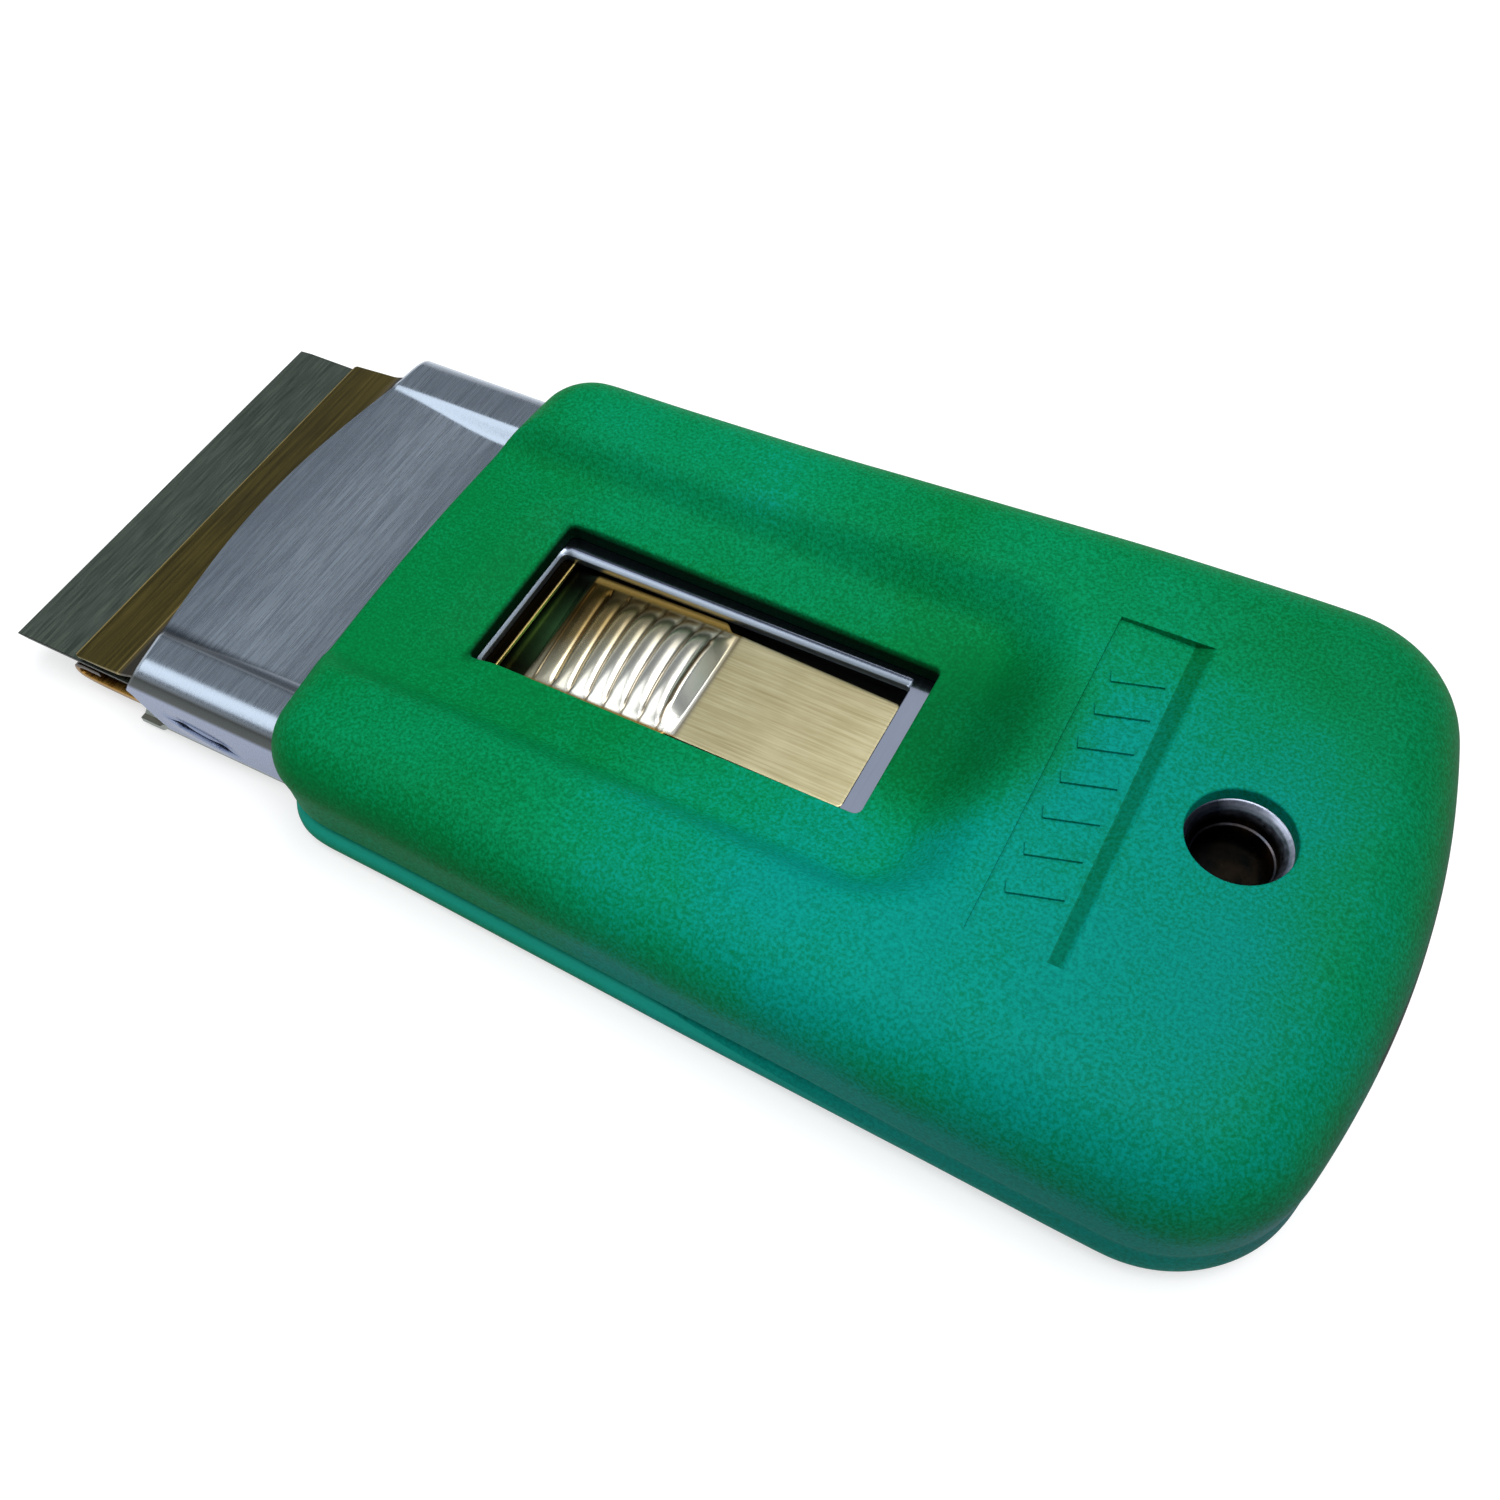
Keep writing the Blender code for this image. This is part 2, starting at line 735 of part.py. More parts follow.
def grip_ring(lift, inset, level):
    """One ring of the grip: the plan outline drawn in by the shoulder's and the heel's round.

    lift(distance) is the round's radius there and inset the share of it that the ring is drawn in,
    and level(distance) gives the ring's height."""
    front_in = lift(grip_front) * inset
    butt_in = lift(grip_back) * inset
    corner_front = max(GRIP_CORNER_FRONT - front_in, LEAST_CORNER)
    corner_butt = max(GRIP_CORNER_BUTT - butt_in, LEAST_CORNER)
    front = grip_front + front_in
    butt = grip_back - butt_in
    half_front = grip_half(grip_front) - front_in - corner_front
    half_butt = grip_half(grip_back) - butt_in - corner_butt
    bend_front = front + corner_front
    bend_butt = butt - BUTT_BOW - corner_butt
    half = []
    for index in range(ARC_STEPS):
        y = half_front * index / ARC_STEPS
        half.append((front - GRIP_BOW * (1 - (y / half_front) ** 2), y))
    half += arc(bend_front, half_front, corner_front, 180, 90)
    half += arc(bend_butt, half_butt, corner_butt, 90, 0)
    for index in range(ARC_STEPS - 1, -1, -1):
        y = half_butt * index / ARC_STEPS
        half.append((butt - BUTT_BOW * (y / half_butt) ** 2, y))
    ring = half + [(x, -y) for x, y in reversed(half[1:-1])]
    return [(along(x), y, level(x)) for x, y in ring]


def shoulder(distance):
    """Radius of the grip's upper round, which grows to the butt."""
    share = (distance - grip_front) / GRIP_LENGTH
    return SHOULDER_FRONT + (SHOULDER_BUTT - SHOULDER_FRONT) * share


def make_grip_body(work):
    """Heel round, lower half, parting step, upper half and shoulder, with flat faces between."""
    rings = []
    for index in range(ARC_STEPS + 1):
        angle = math.pi / 2 * index / ARC_STEPS
        inset = HEEL_ROUND * (1 - math.sin(angle)) + PARTING_STEP
        height = HEEL_ROUND * (1 - math.cos(angle))
        rings.append(grip_ring(lambda _, inset=inset: inset, 1, lambda _, height=height: height))
    rings.append(grip_ring(lambda _: PARTING_STEP, 1, lambda _: PARTING_LEVEL - PARTING_STEP))
    rings.append(grip_ring(lambda _: PARTING_STEP, 0, lambda _: PARTING_LEVEL))
    for index in range(ARC_STEPS + 1):
        angle = math.pi / 2 * index / ARC_STEPS
        rings.append(
            grip_ring(
                shoulder,
                1 - math.cos(angle),
                lambda x, angle=angle: grip_top(x) - shoulder(x) * (1 - math.sin(angle)),
            )
        )
    loft(work, rings)


def recess_outline(half_width, back, corner):
    """Plan outline of the thumb recess, open past the grip's front."""
    front = grip_front - GRIP_BOW - OVERRUN
    corner = min(corner, half_width / 2)
    outline = [(front, -half_width)]
    outline += arc(back - corner, corner - half_width, corner, -90, 0)
    outline += arc(back - corner, half_width - corner, corner, 0, 90)
    outline += [(front, half_width)]
    return outline


def make_recess(work):
    """Dished floor round the opening, then a sloped wall all round but the front."""
    flat_half = WINDOW_WIDTH / 2 + OPENING_MARGIN_SIDE + RECESS_FLAT_MARGIN
    flat_back = window_back + OPENING_MARGIN_BACK + RECESS_FLAT_MARGIN
    rise = GRIP_TOP_BUTT + OVERRUN - RECESS_FOOT_LEVEL
    run = rise * WALL_RUN_SHARE
    half = RECESS_FOOT_HALF_WIDTH
    corner = RECESS_FOOT_CORNER
    plans = [
        (recess_outline(flat_half, flat_back, OPENING_CORNER), RECESS_FLOOR),
        (recess_outline(half, recess_back, corner), RECESS_FOOT_LEVEL),
        (recess_outline(half + run, recess_back + run, corner + run), RECESS_FOOT_LEVEL + rise),
    ]
    loft(work, [[(along(x), y, level) for x, y in plan] for plan, level in plans])


def make_cavity(work):
    """Room for the shell inside the grip: the shell's own section with the fit round it."""
    half = shell_profile(PANEL_SINK, GRIP_FIT)
    half += [(shell_half + GRIP_FIT, back_plate_low - GRIP_FIT)]
    section = whole_section(half)
    front = grip_front - GRIP_BOW - OVERRUN
    back = shell_back + GRIP_FIT
    loft(work, [[(along(x), y, z) for y, z in section] for x in (front, back)])


def make_cartouche(work):
    """Shallow level pocket in the rising top."""
    floor = grip_top(cartouche_front) - CARTOUCHE_SINK
    half = CARTOUCHE_WIDTH / 2
    outline = [
        (cartouche_front, -half),
        (cartouche_back, -half),
        (cartouche_back, half),
        (cartouche_front, half),
    ]
    loft(work, [[(along(x), y, z) for x, y in outline] for z in (floor, GRIP_TOP_BUTT + OVERRUN)])


def bar(index):
    """A maker for one plain leaning bar on the cartouche's floor."""
    floor = grip_top(cartouche_front) - CARTOUCHE_SINK
    middle_x = (cartouche_front + cartouche_back) / 2
    middle_y = (index - (BAR_COUNT - 1) / 2) * BAR_PITCH
    lean = math.radians(BAR_LEAN_DEG)
    corners = []
    for x, y in rounded_box(-BAR_LENGTH / 2, BAR_LENGTH / 2, BAR_WIDTH / 2, BAR_WIDTH / 4):
        turned_x = x * math.cos(lean) - y * math.sin(lean)
        turned_y = x * math.sin(lean) + y * math.cos(lean)
        corners.append((middle_x + turned_x, middle_y + turned_y))
    return prism_up(corners, floor - BAR_HEIGHT, floor + BAR_HEIGHT)


def make_grip_sleeve(finish):
    """The rubber boot with its recess, opening, cartouche, hang hole and the shell's room."""
    grip = piece("grip_sleeve", make_grip_body, finish)
    cut(grip, cutter("cut_grip_recess", make_recess))
    cut(grip, cutter("cut_grip_cavity", make_cavity))
    outline = rounded_box(
        window_front - OPENING_MARGIN_FRONT,
        window_back + OPENING_MARGIN_BACK,
        WINDOW_WIDTH / 2 + OPENING_MARGIN_SIDE,
        OPENING_CORNER,
    )
    cut(grip, cutter("cut_grip_opening", prism_up(outline, panel_top, GRIP_TOP_BUTT)))
    pocket = cutter("cut_grip_cartouche", make_cartouche)
    for index in range(BAR_COUNT):
        cut(pocket, cutter(f"cut_cartouche_bar_{index + 1}", bar(index)))
    cut(grip, pocket)
    upper = EYELET_BORE_RADIUS + EYELET_WALL / 2 + EYELET_LIP_RADIUS + EYELET_FIT
    top = GRIP_TOP_BUTT + OVERRUN
    cut(grip, cutter("cut_grip_hole", round_plug(upper, hole_place, 0, panel_top, top)))
    lower = EYELET_FLANGE_RADIUS + EYELET_FIT
    under = round_plug(lower, hole_place, 0, -OVERRUN, back_plate_low)
    cut(grip, cutter("cut_grip_hole_under", under))
    return grip


def build():
    """Make every piece; the slider, the thumb plate and the blade hang on their joints' empties."""
    clear_scene()
    steel = material("shell_steel", (0.46, 0.47, 0.52), 0.32, 1.0)
    brass = material("carrier_brass", (0.42, 0.31, 0.13), 0.35, 1.0)
    gilt = material("thumb_gilt", (0.66, 0.60, 0.42), 0.28, 1.0)
    carbon = material("blade_carbon_steel", (0.22, 0.23, 0.22), 0.35, 1.0)
    spine = material("spine_tinplate", (0.50, 0.50, 0.48), 0.35, 1.0)
    bright = material("eyelet_nickel", (0.62, 0.62, 0.64), 0.25, 1.0)
    rubber = material("grip_rubber", (0.0, 0.24, 0.11), 0.6, 0.0)

    slide = joint_empty("slider_travel_axis", (along(LIP_SETBACK), 0, clamp_low))
    hinge_level = (tongue_low + tongue_high) / 2
    hinge = joint_empty("thumb_press_axis", (along(rivet_place), 0, hinge_level), slide)
    draw = joint_empty("blade_removal_axis", (along(0), 0, (blade_low + blade_high) / 2), slide)

    make_housing_top(steel)
    make_housing_bottom(steel)
    make_hang_eyelet(bright)
    make_grip_sleeve(rubber)
    make_carrier_base(brass, slide)
    make_clamp_plate(brass, slide)
    make_rivets(bright, slide)
    make_thumb_plate(gilt, hinge)
    make_blade(carbon, draw)
    make_blade_spine(spine, draw)


build()
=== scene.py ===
"""Looks of a retractable window scraper: steel shell, rubber boot, brass carrier and razor blade.

Places are in millimetres: x from the cutting edge towards the butt, y across, z above the table.
"""

import math

import bpy
import numpy as np
from mathutils import Matrix, Vector


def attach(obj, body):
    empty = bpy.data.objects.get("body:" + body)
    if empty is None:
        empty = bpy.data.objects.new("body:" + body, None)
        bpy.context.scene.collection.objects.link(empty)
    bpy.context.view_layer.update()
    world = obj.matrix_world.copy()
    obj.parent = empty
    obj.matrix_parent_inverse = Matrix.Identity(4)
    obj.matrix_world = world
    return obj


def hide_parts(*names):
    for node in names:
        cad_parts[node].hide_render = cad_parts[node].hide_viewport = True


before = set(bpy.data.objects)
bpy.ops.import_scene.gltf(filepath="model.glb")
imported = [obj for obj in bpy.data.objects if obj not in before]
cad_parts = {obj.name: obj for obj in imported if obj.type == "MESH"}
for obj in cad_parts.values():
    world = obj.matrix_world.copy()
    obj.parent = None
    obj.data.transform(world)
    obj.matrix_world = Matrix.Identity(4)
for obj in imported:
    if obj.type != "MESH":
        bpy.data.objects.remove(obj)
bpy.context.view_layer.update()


# Back plate: a flat blank of cold-rolled steel under the channel, whose front corners reach
# forward as lugs, turned down a little. It lies between the walls, so its edges and lugs show.
MM = 0.001
EDGE_TO_MIDDLE = 54.1
PLATE_TOP = 1.4
PLATE_SHEET = 0.5


def srgb(code):
    """Linear colour, with full alpha, of an sRGB hex value."""
    parts = [int(code[i:i + 2], 16) / 255 for i in (1, 3, 5)]
    return [p / 12.92 if p <= 0.04045 else ((p + 0.055) / 1.055) ** 2.4 for p in parts] + [1.0]


def new_material(name):
    """A material with its shader, and the piece's own coordinates, in metres."""
    material = bpy.data.materials.new(name)
    material.use_nodes = True
    tree = material.node_tree
    where = tree.nodes.new("ShaderNodeTexCoord")
    return material, tree, tree.nodes["Principled BSDF"], where.outputs["Object"]


def add_node(tree, kind, settings, links):
    """Add a node. Settings are its attributes or socket values, links feed its sockets."""
    made = tree.nodes.new("ShaderNode" + kind)
    for key, value in settings.items():
        if key == "stops":
            ramp = made.color_ramp
            while len(ramp.elements) < len(value):
                ramp.elements.new(1.0)
            for stop, (place, shade) in zip(ramp.elements, value):
                stop.position = place
                stop.color = srgb(shade) if isinstance(shade, str) else (shade, shade, shade, 1.0)
        elif isinstance(key, int) or key in made.inputs:
            made.inputs[key].default_value = value
        else:
            setattr(made, key, value)
    for key, source in links.items():
        tree.links.new(source, made.inputs[key])
    return made


def brushed_metal(name, dark, light, rough, line_mm, run_mm, axis, depth=0.3):
    """Metal rubbed along one axis: lines line_mm apart and run_mm long. Returns as new_material."""
    material, tree, shader, where = new_material(name)
    scale = [1000 / line_mm] * 3
    scale[axis] = 1000 / run_mm
    fine = add_node(tree, "Mapping", {"Scale": scale}, {"Vector": where})
    lines = add_node(tree, "TexNoise", {"Scale": 1.0, "Detail": 3.0, "Roughness": 0.6},
                     {"Vector": fine.outputs[0]})
    # Handling and rolling leave soft patches some 7 mm across.
    cloud = add_node(tree, "TexNoise", {"Scale": 1000 / 7, "Detail": 2.0}, {"Vector": where})
    both = add_node(tree, "Math", {"operation": "MULTIPLY_ADD", 1: 0.45, 2: 0.0},
                    {0: cloud.outputs["Fac"]})
    blend = add_node(tree, "Math", {"operation": "MULTIPLY_ADD", 1: 0.55},
                     {0: lines.outputs["Fac"], 2: both.outputs[0]})
    tint = add_node(tree, "ValToRGB", {"stops": [(0.3, dark), (0.7, light)]},
                    {"Fac": blend.outputs[0]})
    gloss = add_node(tree, "MapRange", {"From Min": 0.3, "From Max": 0.7, "To Min": rough * 0.8,
                                        "To Max": rough * 1.25}, {"Value": lines.outputs["Fac"]})
    relief = add_node(tree, "Bump", {"Strength": depth, "Distance": 0.00001},
                      {"Height": lines.outputs["Fac"]})
    tree.links.new(tint.outputs["Color"], shader.inputs["Base Color"])
    tree.links.new(gloss.outputs[0], shader.inputs["Roughness"])
    tree.links.new(relief.outputs[0], shader.inputs["Normal"])
    shader.inputs["Metallic"].default_value = 1.0
    return material, tree, shader, where


def coat(piece, material):
    """Give the whole piece one material."""
    piece.data.materials.clear()
    piece.data.materials.append(material)


def deselect():
    """Leave nothing selected."""
    bpy.ops.object.select_all(action="DESELECT")


def blank(name, columns, rows):
    """A flat sheet of columns by rows faces, to be pressed to shape."""
    deselect()
    bpy.ops.mesh.primitive_grid_add(x_subdivisions=columns, y_subdivisions=rows, size=1)
    piece = bpy.context.object
    piece.name = name
    return piece


def press(piece, shape):
    """Press a blank: shape turns arrays of u and v, both 0 to 1, into places in mm."""
    flat = np.empty(len(piece.data.vertices) * 3)
    piece.data.vertices.foreach_get("co", flat)
    flat = flat.reshape(-1, 3)
    x, y, z = shape(flat[:, 0] + 0.5, flat[:, 1] + 0.5)
    placed = np.stack([x - EDGE_TO_MIDDLE, y, z], axis=1) * MM
    piece.data.vertices.foreach_set("co", placed.ravel())
    piece.data.update()


def reshape(piece, shape):
    """Move the points of a finished mesh: shape turns their places in mm into new ones."""
    places = np.empty(len(piece.data.vertices) * 3)
    piece.data.vertices.foreach_get("co", places)
    x, y, z = places.reshape(-1, 3).T / MM
    x, y, z = shape(x + EDGE_TO_MIDDLE, y, z)
    placed = np.stack([x - EDGE_TO_MIDDLE, y, z], axis=1) * MM
    piece.data.vertices.foreach_set("co", placed.ravel())
    piece.data.update()


def apply_modifier(piece, kind, **settings):
    """Add a modifier with its settings and apply it."""
    bpy.context.view_layer.objects.active = piece
    change = piece.modifiers.new(kind.lower(), kind)
    for key, value in settings.items():
        setattr(change, key, value)
    bpy.ops.object.modifier_apply(modifier=change.name)


def ease(t):
    """Smooth step from 0 to 1."""
    t = np.clip(t, 0, 1)
    return t * t * (3 - 2 * t)


def plate_shape(u, v):
    """The flat blank: its front corners reach forward as lugs and are turned down a little."""
    y = 19.8 * (2 * v - 1)
    lug = ease((np.abs(y) - 16.5) / 1.0)
    x = 13.2 - 0.9 * lug + (88.0 + 0.9 * lug) * u ** 2
    turned_down = ease((np.abs(y) - 18.4) / 1.0) * (1 - ease((x - 14.2) / 0.8))
    return x, y, PLATE_TOP - 0.6 * turned_down


back_plate = blank("back_plate_pressed", 120, 80)
press(back_plate, plate_shape)
apply_modifier(back_plate, "SOLIDIFY", thickness=PLATE_SHEET * MM, offset=-1.0)
# Cold-rolled steel, oiled and never polished: a greenish grey with faint lengthwise lines.
rolled_steel, *_ = brushed_metal("cold_rolled_steel_oiled", "#757b76", "#9ba19a", 0.42, 0.14, 6,
                                 0)
coat(back_plate, rolled_steel)
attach(back_plate, "handle")
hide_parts("housing_bottom")


# Shell: a blank of stainless sheet pressed into a channel, with a sunk panel between two
# rails and a window for the thumb. Its face is brushed across the tool before pressing.
SHEET = 0.6
SHELL_HALF = 20.15
RAIL_TOP = 8.2
RAIL_ROUND = 2.2
WALL_FOOT = 1.95
SHELL_BACK = 101.2
WINDOW_FRONT = 37.5
WINDOW_BACK = 68.48
WINDOW_HALF = 6.25
SLIT_MIDDLE = (20.0, 3.35)
SLIT_HALF = (3.5, 0.34)
SLIT_TILT = math.radians(-9)
# Settings of a node that darkens one colour by another.
DARKEN = {"data_type": "RGBA", "blend_type": "MULTIPLY"}


def edit(piece, *steps):
    """Run edit-mode steps on the whole piece. Each is an operator and its settings."""
    deselect()
    piece.select_set(True)
    bpy.context.view_layer.objects.active = piece
    bpy.ops.object.mode_set(mode="EDIT")
    bpy.ops.mesh.select_all(action="SELECT")
    for operator, settings in steps:
        operator(**settings)
    bpy.ops.object.mode_set(mode="OBJECT")


def prism(name, corners, draw):
    """A solid: a face with these corners, in mm, drawn out by the vector draw, in mm."""
    deselect()
    bpy.ops.mesh.primitive_circle_add(vertices=len(corners), fill_type="NGON")
    piece = bpy.context.object
    piece.name = name
    for vertex, (x, y, z) in zip(piece.data.vertices, corners):
        vertex.co = ((x - EDGE_TO_MIDDLE) * MM, y * MM, z * MM)
    step = [value * MM for value in draw]
    edit(piece,
         (bpy.ops.mesh.extrude_region_move, {"TRANSFORM_OT_translate": {"value": step}}),
         (bpy.ops.mesh.select_all, {"action": "SELECT"}),
         (bpy.ops.mesh.normals_make_consistent, {"inside": False}))
    return piece


def cut_away(piece, tool):
    """Take the tool's volume out of the piece, and drop the tool."""
    apply_modifier(piece, "BOOLEAN", operation="DIFFERENCE", solver="EXACT", object=tool)
    bpy.data.objects.remove(tool, do_unlink=True)


def break_edges(piece, width, degrees):
    """Take the burr off: bevel the edges sharper than this, by a width in mm."""
    apply_modifier(piece, "BEVEL", width=width * MM, segments=2, limit_method="ANGLE",
                   angle_limit=math.radians(degrees))


def smooth(piece, degrees):
    """Shade the piece smooth but for edges sharper than this."""
    deselect()
    piece.select_set(True)
    bpy.context.view_layer.objects.active = piece
    bpy.ops.object.shade_smooth_by_angle(angle=math.radians(degrees))


def shell_front(y, z):
    """The front edge: bowed over the top, and running forward again down the bends."""
    t = np.abs(y) / 20
    return 12.3 + 3.5 * t ** 2 - 1.05 * t ** 4 - 0.6 * np.clip(RAIL_TOP - z, 0, 3)


def panel_sink(x, y):
    """How far the panel lies below the rails: little in front, more and wider behind."""
    settle = ease((x - 13.5) / 13)
    inner = 15.2 - settle
    depth = 0.28 + 0.85 * settle - 0.15 * ease((x - 28) / 5)
    return depth * (1 - ease((np.abs(y) - inner) / (16.1 - inner)))


def far_bulge(y):
    """How much further out the far rail and wall stand than the near ones."""
    return 0.65 * ease((y - 16.3) / 1.4)


def shell_shape(u, v):
    """Fold the blank: level over the top, round at the rails, straight down the walls."""
    bend = SHELL_HALF - RAIL_ROUND
    turn = bend + RAIL_ROUND * math.pi / 2
    reach = turn + RAIL_TOP - RAIL_ROUND - WALL_FOOT
    # The rows and columns lie closer at the window's edges and at the front.
    s = np.interp(np.abs(2 * v - 1), (0, 0.18, 0.3, 1), (0, 6.0, 6.9, reach))
    side = np.sign(2 * v - 1)
    angle = np.clip((s - bend) / RAIL_ROUND, 0, math.pi / 2)
    y = np.minimum(s, bend) + RAIL_ROUND * np.sin(angle)
    z = RAIL_TOP - RAIL_ROUND * (1 - np.cos(angle)) - np.clip(s - turn, 0, None)
    run = np.interp(u, (0, 0.05, 0.4, 0.5, 0.62, 0.74, 0.86, 1),
                    (12.3, 12.8, 28, 36.7, 38.7, 67.8, 69.8, SHELL_BACK))
    x = run + (shell_front(y, z) - 12.3) * np.clip((0.5 - u) / 0.1, 0, 1)
    roll = 0.15 * ease((12.65 - run) / 0.35) * ease((y - 15) / 1.0)
    z = z - np.where(s < bend, panel_sink(x, y), 0) - roll
    y = y * side
    return x, y + far_bulge(y), z


shell = blank("steel_shell", 150, 236)
press(shell, shell_shape)
apply_modifier(shell, "SOLIDIFY", thickness=SHEET * MM, offset=-1.0)


def rounded_corners(low_x, high_x, half, corner, level, steps=8):
    """Corners, in mm, of a rounded box in plan at one level."""
    points = []
    for cx, cy, start in ((high_x, -half, -90), (high_x, half, 0), (low_x, half, 90),
                          (low_x, -half, 180)):
        mid_x = cx - corner if cx == high_x else cx + corner
        mid_y = cy - corner if cy > 0 else cy + corner
        for step in range(steps + 1):
            angle = math.radians(start + 90 * step / steps)
            points.append((mid_x + corner * math.cos(angle), mid_y + corner * math.sin(angle),
                           level))
    return points


cut_away(shell, prism("window_punch", rounded_corners(WINDOW_FRONT, WINDOW_BACK, WINDOW_HALF, 0.5, 5),
                      (0, 0, 5)))
cut_away(shell, prism("hole_punch", rounded_corners(90.7, 98.4, 3.85, 3.84, 5), (0, 0, 5)))
for side in (-1, 1):
    lens = []
    for step in range(36):
        turn = 2 * math.pi * step / 36
        run = SLIT_HALF[0] * math.cos(turn)
        wide = 0.2 + 0.8 * math.exp(-((abs(math.cos(turn)) - 0.62) / 0.24) ** 2)
        rise = SLIT_HALF[1] * wide * math.sin(turn) * abs(math.sin(turn))
        lens.append((SLIT_MIDDLE[0] + run * math.cos(SLIT_TILT) - rise * math.sin(SLIT_TILT),
                     side * 18.5,
                     SLIT_MIDDLE[1] + run * math.sin(SLIT_TILT) + rise * math.cos(SLIT_TILT)))
    cut_away(shell, prism("slit_punch", lens, (0, side * 3, 0)))
    notch = [(12, 0.5), (16.1, 0.5), (16.1, 2.0), (15.6, 2.45), (15.0, 3.05), (14.2, 4.1),
             (13.55, 5.0), (13.0, 5.45), (12, 5.6)]
    cut_away(shell, prism("notch_punch", [(x, side * 18.5, z) for x, z in notch],
                          (0, side * 3, 0)))
break_edges(shell, 0.07, 50)


def lance(x, y, z):
    """Push the wall in over each slit and out under it."""
    off_x = (x - SLIT_MIDDLE[0]) * math.cos(SLIT_TILT) + (z - SLIT_MIDDLE[1]) * math.sin(SLIT_TILT)
    off_z = (z - SLIT_MIDDLE[1]) * math.cos(SLIT_TILT) - (x - SLIT_MIDDLE[0]) * math.sin(SLIT_TILT)
    near = np.clip(1 - (off_x / (SLIT_HALF[0] + 0.4)) ** 2, 0, 1) * np.exp(-(off_z / 0.8) ** 2)
    wall = np.abs(y) > SHELL_HALF - SHEET - 0.1
    return x, y - np.sign(y) * np.where(wall, 0.24 * near * np.tanh(off_z / 0.25), 0), z


def roll_rim(x, y, z):
    """Roll the window's edge down in front and along both sides, as the punch leaves it."""
    out_x = np.clip(38.0 - x, 0, None)
    out_y = np.clip(np.abs(y) - 5.75, 0, None)
    near = np.clip(1 - (np.hypot(out_x, out_y) - 0.5) / 0.65, 0, 1)
    return x, y, z - 0.34 * near ** 2 * ease((WINDOW_BACK - x) / 0.2)


reshape(shell, lance)
reshape(shell, roll_rim)
smooth(shell, 40)
# Stainless sheet brushed across the tool on top: parallel lines drawn 0.15 mm apart, coarser
# than the real grit, so that they show. A dark band of painted shade runs along the bends, and
# the walls are tinted bluer and darker. Under the boot the top is painted darker, as painted
# shade, and has more shine, but for the window's rolled edge. Painted shade lies along the near
# step.
brushed_steel, tree, shader, where = brushed_metal("stainless_brushed_across", "#a7b2c0",
                                                   "#b1bcca", 0.27, 0.15, 6, 1, 0.15)
apart = add_node(tree, "SeparateXYZ", {}, {"Vector": where})
aside = add_node(tree, "Math", {"operation": "ABSOLUTE"}, {0: apart.outputs["Y"]})
# Painted shade on the bends: darker between 7.8 and 6 mm up, bluer and darker on the walls below.
bend = add_node(tree, "MapRange", {"From Min": 0.0180, "From Max": 0.0185},
                {"Value": aside.outputs[0]})
level = add_node(tree, "MapRange", {"From Min": 0.0060, "From Max": 0.0078},
                 {"Value": apart.outputs["Z"]})
bend_shade_ramp = add_node(tree, "ValToRGB", {"stops": [(0.0, "#bdc0d2"), (0.25, "#6b6a63"),
                                                (0.72, "#77756c"), (0.97, "#ffffff")]},
                   {"Fac": level.outputs[0]})
# Painted shade: the top under the boot, seen on the window's ledges, is darkened.
behind = add_node(tree, "MapRange", {"From Min": -0.0245, "From Max": -0.0235},
                  {"Value": apart.outputs["X"]})
flat = add_node(tree, "MapRange", {"From Min": 0.00708, "From Max": 0.00718},
                {"Value": apart.outputs["Z"]})
under_boot_shade = add_node(tree, "Math", {"operation": "MULTIPLY"},
                 {0: behind.outputs[0], 1: flat.outputs[0]})
tint = shader.inputs["Base Color"].links[0].from_socket
bend_shaded = add_node(tree, "Mix", DARKEN,
                  {0: bend.outputs[0], 6: tint, 7: bend_shade_ramp.outputs["Color"]})
darker = add_node(tree, "Mix", {**DARKEN, 7: srgb("#b4b3bd")},
                  {0: under_boot_shade.outputs[0], 6: bend_shaded.outputs[2]})
# Painted shade: a dark line along the near step.
strip = add_node(tree, "MapRange", {"From Min": -0.0164, "From Max": -0.0142},
                 {"Value": apart.outputs["Y"]})
step = add_node(tree, "ValToRGB", {"stops": [(0.1, 1.0), (0.35, 0.25), (0.6, 0.3), (0.95, 1.0)]},
                {"Fac": strip.outputs[0]})
darker = add_node(tree, "Mix", {**DARKEN, 0: 1.0},
                  {6: darker.outputs[2], 7: step.outputs["Color"]})
gloss = shader.inputs["Roughness"].links[0].from_socket
sleek = add_node(tree, "MapRange", {"To Min": 1.0, "To Max": 0.5}, {"Value": behind.outputs[0]})
rough = add_node(tree, "Math", {"operation": "MULTIPLY"}, {0: gloss, 1: sleek.outputs[0]})
rolled = add_node(tree, "Math", {"operation": "SUBTRACT"},
                  {0: behind.outputs[0], 1: under_boot_shade.outputs[0]})
rough = add_node(tree, "Math", {"operation": "MULTIPLY_ADD", 1: 0.25},
                 {0: rolled.outputs[0], 2: rough.outputs[0]})
tree.links.new(darker.outputs[2], shader.inputs["Base Color"])
tree.links.new(rough.outputs[0], shader.inputs["Roughness"])
coat(shell, brushed_steel)
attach(shell, "handle")
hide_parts("housing_top")


# Hang eyelet: a drawn brass tube, nickel-plated, whose mouth is flared in the rubber's hole and
# whose foot is flared under the back plate.
HOLE = (94.55, 0.0)


